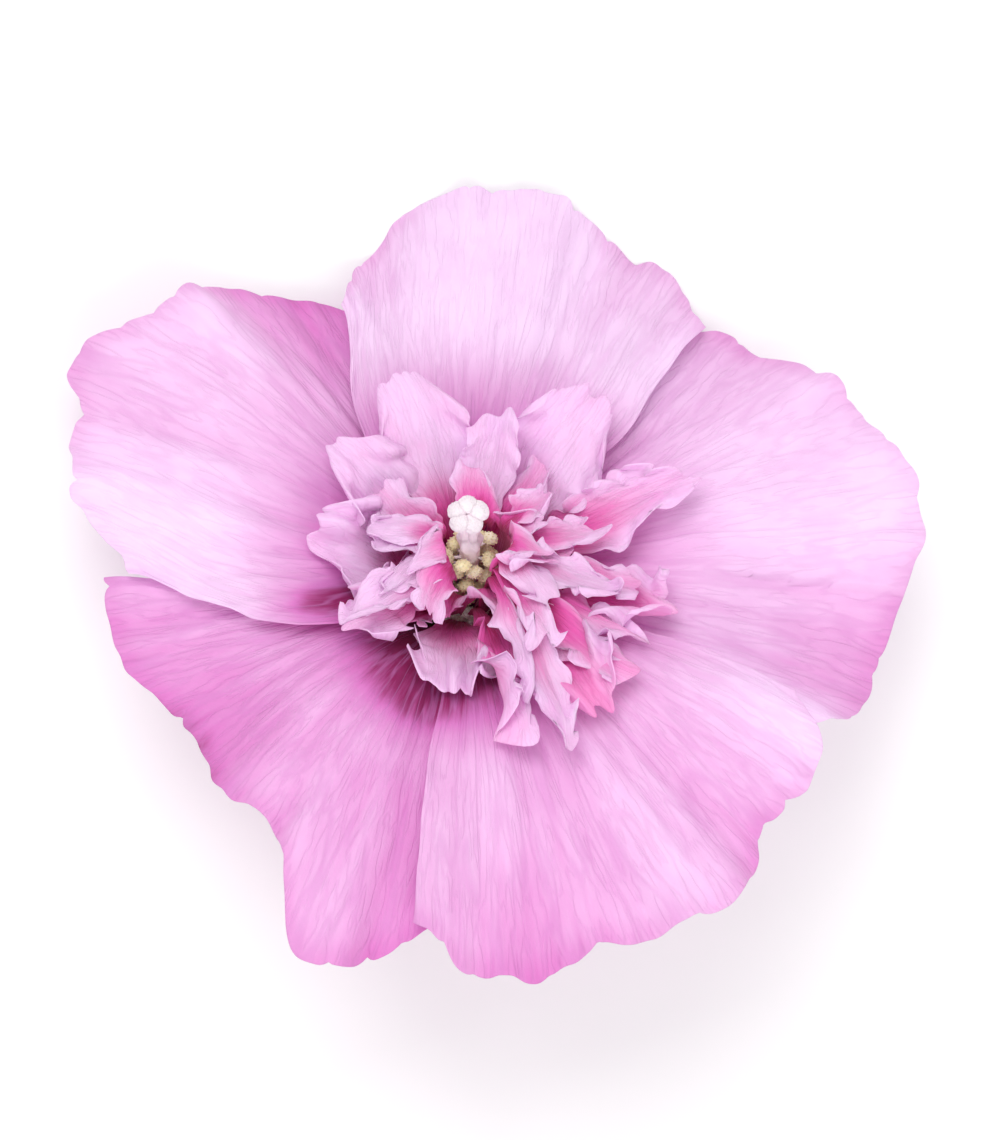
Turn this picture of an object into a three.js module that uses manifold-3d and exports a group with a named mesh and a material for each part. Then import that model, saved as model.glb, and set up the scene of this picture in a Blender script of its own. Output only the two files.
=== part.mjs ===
// A single semi-double hibiscus flower as picked: five broad waved petals over a bell-shaped calyx,
// a ruffled heart of petal-like stamens, a pale column with anthers and stigmas, and a short cut stem.
// It lies on a table, face up and leaning, on two dropped corners of its front petal and on its stem.
//
// Part frame: millimetres, +Z up, the table is z = 0 and the origin is under the middle of the flower.
// The bloom is modelled in its own frame, with +Z along the flower's axis and the petals' claws near
// the origin, and its group turns and lifts that frame to the way the flower lies.

import * as THREE from "three";
import { mergeVertices } from "three/addons/utils/BufferGeometryUtils.js";
import Module from "manifold-3d";

const wasm = await Module();
wasm.setup();

const DEGREE = Math.PI / 180;
const SLIVER = 0.02; // details of a joined solid under this size are smoothed away

// How the flower lies ------------------------------------------------------------------------------
const LEAN = 30; // degrees from upright, towards -Y
const SEAT_HEIGHT = 11.05; // the claws' level above the table
const CENTRE_X = 3.45; // the bloom's axis foot, measured from the middle of the whole outline
const CENTRE_Y = 7.20;

// The open petals ----------------------------------------------------------------------------------
const CLAW_RADIUS = 3.4; // where a petal starts, from the flower's axis
const RIM_RADIUS = 56; // nominal reach of the open petals
const FUNNEL_HEIGHT = 21;
const FUNNEL_FLARE = 9; // the radius over which the funnel opens out
const RIM_REFLEX = 3; // how far the rim bends back
const PETAL_THICKNESS = 0.7;
const CLAW_SPREAD = 36; // degrees on each side of the petal's middle, at its claw
const BROAD_AT = 0.42; // share of a petal's length where it reaches its broad spread
const LAYER_LIFT = 1.5; // a margin that lies over or under its neighbour stands off by this
const CLAW_LIFT = 0.55; // and by this at the claw
const PETAL_GRID = { across: 22, along: 12 };

// at: degrees round the bloom, 90 is the top of the flower as it grew. Each side has its spread in
// degrees where the petal is broad and at its rim, and lies over (+1) or under (-1) its neighbour.
// reach: radius of the rim at nine even stations, from the clockwise to the counter-clockwise side.
const PETALS = {
  petal_top: {
    at: 83,
    clockwise: { broad: 41, rim: 33, over: 1 },
    counter: { broad: 49, rim: 33, over: 1 },
    reach: [49, 51.3, 52.2, 52.6, 54, 53.5, 51.5, 47, 40],
  },
  petal_left: {
    at: 152,
    clockwise: { broad: 42, rim: 44, over: -1 },
    counter: { broad: 58, rim: 34, over: 1 },
    reach: [38, 44.5, 51, 54, 59, 54, 53.2, 50.8, 45],
  },
  petal_lower_left: {
    at: 228,
    clockwise: { broad: 38, rim: 42, over: -1 },
    counter: { broad: 40, rim: 42, over: -1 },
    reach: [47.5, 48, 43.5, 43.5, 46, 48, 59.5, 54, 46],
  },
  petal_lower_right: {
    at: 299,
    clockwise: { broad: 40, rim: 38, over: 1 },
    counter: { broad: 37, rim: 38, over: 1 },
    reach: [51, 57.5, 56.5, 54.8, 57.5, 56.5, 52.5, 53, 46],
  },
  petal_right: {
    at: 14,
    clockwise: { broad: 50, rim: 43, over: -1 },
    counter: { broad: 38, rim: 46, over: -1 },
    reach: [48.5, 54, 55, 58.8, 60.5, 58.2, 54, 50, 44],
  },
};

// Folds shared by all the petals, so that layers follow each other: place round the bloom and half
// width in degrees, lift of the rim in mm, and the radius where the fold starts.
const FOLDS = [
  { at: 85, width: 13, lift: 3, from: 14 },
  { at: 61, width: 11, lift: -6.8, from: 26 },
  { at: 106, width: 9, lift: -8, from: 26 },
  { at: 124, width: 8, lift: -3.5, from: 12 },
  { at: 141, width: 10, lift: 2.5, from: 14 },
  { at: 163, width: 6, lift: -3, from: 30 },
  { at: 176, width: 8, lift: 2.5, from: 18 },
  { at: 211, width: 15, lift: -8, from: 20 },
  { at: 246, width: 9, lift: 2.5, from: 20 },
  { at: 275, width: 9, lift: -4, from: 34 },
  { at: 292, width: 6, lift: -2, from: 16 },
  { at: 303, width: 7, lift: 2, from: 16 },
  { at: 314, width: 5, lift: -2, from: 24 },
  { at: 331, width: 9, lift: 4, from: 16 },
  { at: 351, width: 11, lift: -6.5, from: 22 },
  { at: 14, width: 12, lift: 2.5, from: 18 },
  { at: 42, width: 9, lift: -3.5, from: 14 },
];
// Even waves round the rim: how many, how high in mm, and where they start in degrees.
const RIM_WAVES = [
  { count: 11, height: 0.8, phase: 60 },
  { count: 17, height: 0.6, phase: 200 },
];

// The heart: a tube round the column that bears all the petal-like stamens ---------------------------
const TUBE_RADIUS = 2.7;
const TUBE_BORE = 1.6;
const TUBE_HEIGHT = 11;
const TUBE_FOOT = -1.5;
const BLADE_THICKNESS = 0.6;
const BLADE_CLEARANCE = 1.9; // from the petals below
const ANTHER_CLEARANCE = 4.6; // radius kept free for the column's anthers, above the tube
const INNER_GRID = { across: 6, along: 6 };
const TUFT_GRID = { across: 3, along: 5 };
// The larger inner petals, placed by hand: azimuth, reach, tip height, width, where it is rooted,
// roll and sweep in degrees, cup as a share of its half width, and ruffle in mm.
const INNER_PETALS = [
  { at: 112, reach: 23.5, tip: 25.5, width: 13, root: 6, roll: 6, sweep: 3, cup: 0.12, ruffle: 0.9 },
  { at: 145, reach: 22, tip: 24, width: 12, root: 5, roll: -4, sweep: -2, cup: 0.15, ruffle: 0.9 },
  { at: 181, reach: 20.5, tip: 22.5, width: 13, root: 4.5, roll: -8, sweep: -3, cup: 0.15, ruffle: 1.0 },
  { at: 80, reach: 19, tip: 26, width: 7.5, root: 7, roll: -8, sweep: 2, cup: 0.2, ruffle: 0.6 },
  { at: 53, reach: 26, tip: 24.5, width: 15, root: 5, roll: 6, sweep: 2, cup: 0.1, ruffle: 0.9 },
  { at: 19, reach: 29, tip: 25.5, width: 9, root: 5.5, roll: 20, sweep: 3, cup: 0.3, ruffle: 0.8 },
  { at: 341, reach: 28, tip: 23, width: 10, root: 4.5, roll: -16, sweep: 2, cup: 0.25, ruffle: 1.2 },
  { at: 309, reach: 27, tip: 22.5, width: 14, root: 4.5, roll: 14, sweep: -3, cup: 0.3, ruffle: 1.2 },
  { at: 283, reach: 29.5, tip: 22, width: 10, root: 5.5, roll: -22, sweep: -4, cup: 0.3, ruffle: 1.3 },
  { at: 261, reach: 20, tip: 20.5, width: 12, root: 4.5, roll: 8, sweep: 2, cup: 0.1, ruffle: 1.1 },
  { at: 213, reach: 19.5, tip: 21, width: 8, root: 6, roll: -20, sweep: 3, cup: 0.3, ruffle: 1.1 },
];
// The tuft of small petaloids, placed by rule round and up the tube: the later ones stand higher, more
// upright and shorter, and they part in front of the column.
const TUFT = {
  count: 13,
  crowdedAt: 295, // degrees round the bloom
  openAt: 240, // degrees round the bloom
  root: [5.8, 9.8],
  reach: [22, 8.5],
  tip: [20.5, 24.5],
  width: [4.5, 7],
};

// The column: a slim style with its anthers, which parts above them into five stigmas -----------------
const STYLE_RADIUS = 1.3;
const STYLE_SWELL = 1.6; // radius where it parts
const STYLE_HEIGHT = 27.5;
const COLUMN_BEND = { x: -1.3, y: 1.2 }; // how far its tip bends aside
const ANTHERS = { count: 20, from: 12.7, to: 20, out: 2.15, radius: 1, filament: 0.36 };
const STIGMAS = { count: 5, height: 35.5, drop: 2.2, out: 1.9, radius: 1, branch: 0.6 };

// The green cup and what carries it ------------------------------------------------------------------
const SEAT_GAP = 0.3; // between pieces that bear on each other
const CALYX_GAP = 0.5; // under the petals
const CALYX_THICKNESS = 0.8;
const CALYX_FLOOR = -1.8; // level of the cup's inner floor
const CALYX = { floor: 4.8, sinus: 9.8, tip: 17.8, first: 47 }; // radii, and the first lobe's place
const CALYX_GRID = { round: 40, up: 7 };
const EPICALYX = { count: 8, width: 1.7, thickness: 0.9, ring: 5, depth: 1.8, reach: 14.4, spread: 1.6 };
const RECEPTACLE = { depth: 3.4, radius: 4.6 };
const STEM = { pedicel: 1.25, cut: 1.45, end: 39, drift: -3.2, sides: 10, steps: 24 };
const FLAT_SINK = 0.12; // what rests on the table is flattened by this

// Small formulas -------------------------------------------------------------------------------------
const smooth = (x) => {
  const t = Math.min(1, Math.max(0, x));
  return t * t * (3 - 2 * t);
};
const bell = (x) => Math.exp(-x * x);
const wrapped = (degrees) => ((((degrees + 180) % 360) + 360) % 360) - 180;
const between = ([low, high], share) => low + (high - low) * share;

// A repeatable draw from 0 to 1 for repeat number i and property k.
const draw = (i, k) => {
  const x = Math.sin(i * 12.9898 + k * 78.233) * 43758.5453;
  return x - Math.floor(x);
};

// A value on the smooth curve through evenly spaced values, at share t of its length.
const through = (values, t) =>
  new THREE.SplineCurve(values.map((y, x) => new THREE.Vector2(x, y))).getPoint(Math.min(1, Math.max(0, t))).y;

// The corolla's form -----------------------------------------------------------------------------------
// Height of the plain funnel: it rises steeply from the claws, opens out flat and bends back at the rim.
function funnel(radius) {
  const out = Math.max(0, radius - CLAW_RADIUS);
  const share = out / (RIM_RADIUS - CLAW_RADIUS);
  return FUNNEL_HEIGHT * (1 - Math.exp(-out / FUNNEL_FLARE)) - RIM_REFLEX * share ** 3;
}

// How much taller than thick a layer of the funnel's wall is, measured straight up.
function steepness(radius) {
  const nearest = Math.max(radius, CLAW_RADIUS + 0.1);
  return Math.hypot(1, (funnel(nearest + 0.1) - funnel(nearest - 0.1)) / 0.2);
}

// Lift of the folds and rim waves at a place, in mm.
function relief(degrees, radius) {
  let lift = 0;
  for (const fold of FOLDS) {
    const rise = smooth((radius - fold.from) / (RIM_RADIUS - fold.from));
    lift += fold.lift * bell(wrapped(degrees - fold.at) / fold.width) * rise;
  }
  const edge = smooth((radius - 24) / (RIM_RADIUS - 24));
  for (const wave of RIM_WAVES) {
    lift += wave.height * edge * Math.sin((wave.count * degrees + wave.phase) * DEGREE);
  }
  return lift;
}

// How far a margin stands off from the plain funnel, square to it.
function standOff(radius) {
  return CLAW_LIFT + (LAYER_LIFT - CLAW_LIFT) * smooth((radius - 8) / 18);
}

// A point of a petal's middle surface. u runs across it from -1 to 1, v from claw to rim.
function petalPoint(petal, u, v) {
  const side = u < 0 ? petal.clockwise : petal.counter;
  const spread =
    CLAW_SPREAD +
    (side.broad - CLAW_SPREAD) * smooth(v / BROAD_AT) +
    (side.rim - side.broad) * smooth((v - BROAD_AT) / (1 - BROAD_AT));
  const degrees = petal.at + u * spread;
  const reach = through(petal.reach, (u + 1) / 2);
  const radius = CLAW_RADIUS + (reach - CLAW_RADIUS) * v ** 1.15;
  const layer = side.over * standOff(radius) * steepness(radius) * smooth((Math.abs(u) - 0.1) / 0.6);
  return new THREE.Vector3(
    radius * Math.cos(degrees * DEGREE),
    radius * Math.sin(degrees * DEGREE),
    funnel(radius) + relief(degrees, radius) + layer,
  );
}

// Moves a point of a heart blade up clear of the petals, and out clear of the anthers.
function bentClear(point) {
  const radius = Math.hypot(point.x, point.y);
  const degrees = Math.atan2(point.y, point.x) / DEGREE;
  const clearance = (CLAW_LIFT + BLADE_CLEARANCE) * steepness(radius);
  const lowest = funnel(radius) + relief(degrees, radius) + clearance;
  if (radius > CLAW_RADIUS && point.z < lowest + 1) {
    const soft = Math.log(1 + Math.exp((point.z - lowest) / 0.5)) * 0.5;
    point.z = lowest + soft;
  }
  const open = smooth((point.z - TUBE_HEIGHT + 3) / 3);
  const nearest = ANTHER_CLEARANCE * open;
  if (radius < nearest) {
    point.x *= nearest / radius;
    point.y *= nearest / radius;
  }
  return point;
}

// A point of a heart blade's middle surface. It rises from the tube and arches out to its tip, s runs
// across it from -1 to 1 and t along it. roll turns it about its length and sweep bends it sideways.
function bladePoint(blade, s, share) {
  const t = share * (1 - 0.16 * s * s);
  const start = new THREE.Vector2(TUBE_RADIUS - 0.9, blade.root);
  const out = blade.reach - start.x;
  const rise = blade.tip - blade.root;
  const upright = blade.upright ?? 0;
  const path = new THREE.CubicBezierCurve(
    start,
    new THREE.Vector2(start.x + (0.3 - 0.2 * upright) * out, blade.root + 0.5 * rise),
    new THREE.Vector2(start.x + (0.62 - 0.17 * upright) * out, blade.tip - (0.05 - 0.12 * upright) * rise),
    new THREE.Vector2(blade.reach, blade.tip),
  );
  const middle = path.getPoint(t);
  const along = path.getTangent(t);
  const azimuth = (blade.at + blade.sweep * t * t) * DEGREE;
  const outward = new THREE.Vector3(Math.cos(azimuth), Math.sin(azimuth), 0);
  const tangent = outward.clone().multiplyScalar(along.x).setZ(along.y);
  const across = new THREE.Vector3(-Math.sin(azimuth), Math.cos(azimuth), 0);
  across.applyAxisAngle(tangent, blade.roll * DEGREE * t);
  const normal = new THREE.Vector3().crossVectors(tangent, across);
  const half =
    (blade.width / 2) * (0.16 + 0.84 * smooth((t - 0.08) / 0.6)) * (1 - 0.3 * smooth((t - 0.7) / 0.3));
  const wave = blade.ruffle * t * t * Math.sin(3.4 * s + blade.phase * DEGREE + 2.2 * t);
  return bentClear(
    outward
      .multiplyScalar(middle.x)
      .setZ(middle.y)
      .addScaledVector(across, s * half)
      .addScaledVector(normal, blade.cup * half * s * s + wave),
  );
}

// Meshes and solids ------------------------------------------------------------------------------------
// A closed blade round a middle surface, given as a function of a from -1 to 1 and b from 0 to 1.
// Both faces are split into the same triangles.
function bladeGeometry(surface, { across, along }, thickness) {
  const step = 1e-3;
  const faces = [[], []];
  for (let j = 0; j <= along; j += 1) {
    for (let i = 0; i <= across; i += 1) {
      const a = (2 * i) / across - 1;
      const b = j / along;
      const slopeA = surface(a + step, b).sub(surface(a - step, b));
      const slopeB = surface(a, Math.min(1, b + step)).sub(surface(a, Math.max(0, b - step)));
      const normal = new THREE.Vector3().crossVectors(slopeB, slopeA).normalize();
      const point = surface(a, b);
      faces[0].push(...point.clone().addScaledVector(normal, thickness / 2).toArray());
      faces[1].push(...point.addScaledVector(normal, -thickness / 2).toArray());
    }
  }
  const under = (across + 1) * (along + 1);
  const place = (i, j) => j * (across + 1) + i;
  const index = [];
  for (let j = 0; j < along; j += 1) {
    for (let i = 0; i < across; i += 1) {
      const [a, b, c, d] = [place(i, j), place(i + 1, j), place(i + 1, j + 1), place(i, j + 1)];
      index.push(a, d, c, a, c, b);
      index.push(under + a, under + c, under + d, under + a, under + b, under + c);
    }
  }
  const rim = [];
  for (let j = 0; j < along; j += 1) rim.push(place(0, j));
  for (let i = 0; i < across; i += 1) rim.push(place(i, along));
  for (let j = along; j > 0; j -= 1) rim.push(place(across, j));
  for (let i = across; i > 0; i -= 1) rim.push(place(i, 0));
  rim.forEach((p, n) => {
    const q = rim[(n + 1) % rim.length];
    index.push(q, p, under + p, q, under + p, under + q);
  });
  return new THREE.BufferGeometry()
    .setAttribute("position", new THREE.Float32BufferAttribute([...faces[0], ...faces[1]], 3))
    .setIndex(index);
}

// A closed mesh as a solid that can be joined and cut.
function solidOf(geometry) {
  const plain = geometry.clone();
  plain.deleteAttribute("normal");
  plain.deleteAttribute("uv");
  const merged = mergeVertices(plain, 1e-4);
  return new wasm.Manifold(
    new wasm.Mesh({
      numProp: 3,
      vertProperties: new Float32Array(merged.attributes.position.array),
      triVerts: new Uint32Array(merged.index.array),
    }),
  );
}

// A solid back as geometry, flat shaded.
function geometryOf(solid) {
  const mesh = solid.getMesh();
  const geometry = new THREE.BufferGeometry()
    .setAttribute("position", new THREE.BufferAttribute(new Float32Array(mesh.vertProperties), 3))
    .setIndex(new THREE.BufferAttribute(new Uint32Array(mesh.triVerts), 1));
  geometry.computeVertexNormals();
  return geometry;
}

const joined = (solids) => solids.reduce((sum, next) => sum.add(next));

// The solid without the closed bubbles and slivers that crossing blades can leave in it.
const cleaned = (solid) =>
  solid
    .simplify(SLIVER)
    .decompose()
    .reduce((largest, body) => (body.volume() > largest.volume() ? body : largest));

// A round bar from one point to another.
function bar(from, to, radius, sides = 6) {
  const length = from.distanceTo(to);
  const geometry = new THREE.CylinderGeometry(radius, radius, length, sides);
  const turn = new THREE.Quaternion().setFromUnitVectors(
    new THREE.Vector3(0, 1, 0),
    to.clone().sub(from).normalize(),
  );
  geometry.applyQuaternion(turn);
  const middle = from.clone().add(to).multiplyScalar(0.5);
  return geometry.translate(middle.x, middle.y, middle.z);
}

// A point at an azimuth in degrees, a radius and a height of the bloom's frame.
function polar(degrees, radius, height) {
  return new THREE.Vector3(radius * Math.cos(degrees * DEGREE), radius * Math.sin(degrees * DEGREE), height);
}

// A solid of revolution about the flower's axis, from a profile of [radius, height] pairs that runs
// upwards on the outside.
function turned(profile, segments) {
  const lathe = new THREE.LatheGeometry(
    profile.map(([radius, height]) => new THREE.Vector2(radius, height)),
    segments,
  );
  return lathe.rotateX(90 * DEGREE);
}

// Materials ---------------------------------------------------------------------------------------------
const material = (color, roughness) => new THREE.MeshStandardMaterial({ color, roughness, metalness: 0 });
const petalPink = material("#f6c8f6", 0.6);
const heartPink = material("#f39fdc", 0.6);
const creamWhite = material("#fbeed6", 0.6);
const sepalGreen = material("#8fae4c", 0.7);
const barkBrown = material("#93785f", 0.8);

// The bloom ---------------------------------------------------------------------------------------------
const bloom = new THREE.Group();
bloom.rotation.set(LEAN * DEGREE, 0, 180 * DEGREE, "XYZ");
bloom.position.set(CENTRE_X, CENTRE_Y, SEAT_HEIGHT);
bloom.updateMatrixWorld(true);

// The space under the table top, in the bloom's frame: what rests on the table is cut flat by it.
function underTable() {
  const box = new THREE.BoxGeometry(200, 200, 20).translate(0, 0, -10);
  return solidOf(box.applyMatrix4(bloom.matrixWorld.clone().invert()));
}

function addTo(group, name, geometry, look) {
  const mesh = new THREE.Mesh(geometry, look);
  mesh.name = name;
  group.add(mesh);
}

function petalGeometry(petal) {
  const blade = bladeGeometry((u, v) => petalPoint(petal, u, v), PETAL_GRID, PETAL_THICKNESS);
  return geometryOf(solidOf(blade).subtract(underTable()));
}

// The tuft's blades: each next one stands a golden turn further round and higher up the tube, and they
// crowd together on one side.
function tuftBlades() {
  const azimuth = (i) => {
    const turn = 2 * ((0.618 * i) % 1) - 1;
    const even = TUFT.crowdedAt + 180 * Math.sign(turn) * Math.abs(turn) ** 1.4;
    const off = wrapped(even - TUFT.openAt);
    return even + 45 * Math.sign(off) * bell(off / 40) * (i / (TUFT.count - 1));
  };
  return Array.from({ length: TUFT.count }, (_, i) => ({
    at: azimuth(i),
    upright: 1,
    root: between(TUFT.root, i / (TUFT.count - 1)),
    reach: between(TUFT.reach, Math.sqrt(i / (TUFT.count - 1))) * (0.9 + 0.2 * draw(i, 1)),
    tip: between(TUFT.tip, i / (TUFT.count - 1)) + draw(i, 2) - 0.5,
    width: between(TUFT.width, draw(i, 3)),
    roll: 44 * (draw(i, 4) - 0.5),
    sweep: 30 * (draw(i, 5) - 0.5),
    cup: 0.6 * (draw(i, 6) - 0.3),
    ruffle: 0.8,
    phase: 360 * draw(i, 7),
  }));
}

function heartGeometry() {
  const tube = turned(
    [
      [TUBE_BORE, TUBE_FOOT],
      [TUBE_RADIUS - 0.2, TUBE_FOOT],
      [TUBE_RADIUS - 0.2, 3],
      [TUBE_RADIUS, 5],
      [TUBE_RADIUS - 0.4, TUBE_HEIGHT],
      [TUBE_BORE, TUBE_HEIGHT],
      [TUBE_BORE, TUBE_FOOT],
    ],
    18,
  );
  const blades = [
    ...INNER_PETALS.map((blade, i) => [{ ...blade, phase: 360 * draw(i, 9) }, INNER_GRID]),
    ...tuftBlades().map((blade) => [blade, TUFT_GRID]),
  ].map(([blade, grid]) => solidOf(bladeGeometry((s, t) => bladePoint(blade, s, t), grid, BLADE_THICKNESS)));
  const bore = turned([[0, TUBE_FOOT - 1], [TUBE_BORE, TUBE_FOOT - 1], [TUBE_BORE, 40], [0, 40]], 18);
  return geometryOf(cleaned(joined([solidOf(tube), ...blades]).subtract(solidOf(bore))));
}

// Moves a point of the column aside by the column's bend at that height, which starts above the tube.
function bent(point) {
  const share = Math.max(0, point.z - TUBE_HEIGHT) / (STIGMAS.height - TUBE_HEIGHT);
  point.x += COLUMN_BEND.x * share ** 2;
  point.y += COLUMN_BEND.y * share ** 2;
  return point;
}

function columnGeometry() {
  const style = turned(
    [
      [0, TUBE_FOOT],
      [STYLE_RADIUS, TUBE_FOOT],
      [STYLE_RADIUS, TUBE_HEIGHT + 1],
      [STYLE_RADIUS, (TUBE_HEIGHT + ANTHERS.to) / 2],
      [STYLE_RADIUS, ANTHERS.to],
      [STYLE_SWELL, STYLE_HEIGHT - 2.5],
      [STYLE_SWELL * 0.7, STYLE_HEIGHT],
      [0, STYLE_HEIGHT + 0.4],
    ],
    12,
  );
  const { position } = style.attributes;
  const corner = new THREE.Vector3();
  for (let n = 0; n < position.count; n += 1) {
    position.setXYZ(n, ...bent(corner.fromBufferAttribute(position, n)).toArray());
  }
  const parts = [solidOf(style)];
  for (let i = 0; i < ANTHERS.count; i += 1) {
    const share = i / (ANTHERS.count - 1);
    const level = ANTHERS.from + (ANTHERS.to - ANTHERS.from) * share;
    const head = bent(polar(137.5 * i, ANTHERS.out + 0.5 * draw(i, 11), level));
    const root = bent(polar(137.5 * i, STYLE_RADIUS - 0.5, level - 0.9));
    const anther = new THREE.IcosahedronGeometry(ANTHERS.radius, 0).translate(head.x, head.y, head.z);
    parts.push(solidOf(anther), solidOf(bar(root, head, ANTHERS.filament, 3)));
  }
  for (let i = 0; i < STIGMAS.count; i += 1) {
    const degrees = (360 / STIGMAS.count) * i + 18 + 22 * (draw(i, 15) - 0.5);
    const out = STIGMAS.out + 0.8 * (draw(i, 16) - 0.5);
    const tip = bent(polar(degrees, out, STIGMAS.height - STIGMAS.drop * draw(i, 17)));
    const root = bent(polar(degrees, 0.6, STYLE_HEIGHT - 2));
    const head = new THREE.IcosahedronGeometry(STIGMAS.radius, 0).translate(tip.x, tip.y, tip.z);
    parts.push(solidOf(head), solidOf(bar(root, tip, STIGMAS.branch, 5)));
  }
  return geometryOf(cleaned(joined(parts)));
}

// Height of the calyx's middle surface: it follows the backs of the lowest petals.
function calyxHeight(radius) {
  const below = standOff(radius) + PETAL_THICKNESS / 2 + CALYX_GAP + CALYX_THICKNESS / 2;
  return funnel(radius) - below * steepness(radius);
}

// The calyx: a bell with five pointed lobes. Its wall is a closed skin of an outer and an inner face.
function calyxGeometry() {
  const { round, up } = CALYX_GRID;
  const outer = [];
  const inner = [];
  for (let j = 0; j <= up; j += 1) {
    for (let i = 0; i < round; i += 1) {
      const degrees = (360 * i) / round;
      const fromTip = Math.abs(wrapped(5 * (degrees - CALYX.first))) / 180;
      const reach = CALYX.sinus + (CALYX.tip - CALYX.sinus) * (1 - smooth(fromTip)) ** 1.2;
      const radius = CALYX.floor + (reach - CALYX.floor) * (j / up) ** 1.2;
      const half = (CALYX_THICKNESS / 2) * (1 - 0.35 * (j / up) ** 4);
      const steep = steepness(radius);
      const out = (half * Math.sqrt(steep * steep - 1)) / steep;
      const rise = half / steep;
      outer.push(...polar(degrees, radius + out, calyxHeight(radius) - rise).toArray());
      inner.push(...polar(degrees, radius - out, calyxHeight(radius) + rise).toArray());
    }
  }
  for (let i = 0; i < round; i += 1) {
    outer[3 * i + 2] = CALYX_FLOOR - CALYX_THICKNESS;
    inner[3 * i + 2] = CALYX_FLOOR;
  }
  const rows = (up + 1) * round;
  const position = [...outer, ...inner, 0, 0, CALYX_FLOOR - CALYX_THICKNESS, 0, 0, CALYX_FLOOR];
  const place = (i, j) => j * round + (i % round);
  const index = [];
  for (let i = 0; i < round; i += 1) {
    for (let j = 0; j < up; j += 1) {
      const [a, b, c, d] = [place(i, j), place(i + 1, j), place(i + 1, j + 1), place(i, j + 1)];
      index.push(a, b, c, a, c, d);
      index.push(rows + a, rows + c, rows + b, rows + a, rows + d, rows + c);
    }
    const [p, q] = [place(i, up), place(i + 1, up)];
    index.push(p, q, rows + q, p, rows + q, rows + p);
    index.push(2 * rows, place(i + 1, 0), place(i, 0));
    index.push(2 * rows + 1, rows + place(i, 0), rows + place(i + 1, 0));
  }
  return new THREE.BufferGeometry()
    .setAttribute("position", new THREE.Float32BufferAttribute(position, 3))
    .setIndex(index);
}

// The epicalyx: a ring under the calyx with slender bracts that stand along the bell.
function epicalyxGeometry() {
  const { count, width, thickness, ring, depth, reach, spread } = EPICALYX;
  const top = CALYX_FLOOR - CALYX_THICKNESS - SEAT_GAP;
  const collar = turned(
    [
      [ring, top - depth],
      [ring + 0.9, top - depth],
      [ring + 1.4, top - 0.5],
      [ring + 1, top],
      [ring, top],
      [ring, top - depth],
    ],
    24,
  );
  const bracts = Array.from({ length: count }, (_, i) => {
    const length = 0.88 + 0.12 * draw(i, 21);
    const degrees = (360 / count) * (i + 0.3 * draw(i, 22));
    const surface = (s, t) => {
      const radius = ring + 0.6 + (reach - ring) * length * t;
      const below = (CALYX_THICKNESS + thickness) / 2 + SEAT_GAP + 0.1 + spread * t * t + 1.3 * (1 - t) ** 4;
      const half = (width / 2) * (1 - 0.75 * smooth((t - 0.45) / 0.55));
      const place = polar(degrees, radius, calyxHeight(radius) - below * steepness(radius));
      const across = new THREE.Vector3(-Math.sin(degrees * DEGREE), Math.cos(degrees * DEGREE), 0);
      return place.addScaledVector(across, s * half);
    };
    return solidOf(bladeGeometry(surface, { across: 2, along: 7 }, thickness));
  });
  return geometryOf(cleaned(joined([solidOf(collar), ...bracts])));
}

for (const [name, petal] of Object.entries(PETALS)) addTo(bloom, name, petalGeometry(petal), petalPink);
addTo(bloom, "petaloid_heart", heartGeometry(), heartPink);
addTo(bloom, "column", columnGeometry(), creamWhite);
addTo(bloom, "calyx", calyxGeometry(), sepalGreen);
addTo(bloom, "epicalyx", epicalyxGeometry(), sepalGreen);

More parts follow.
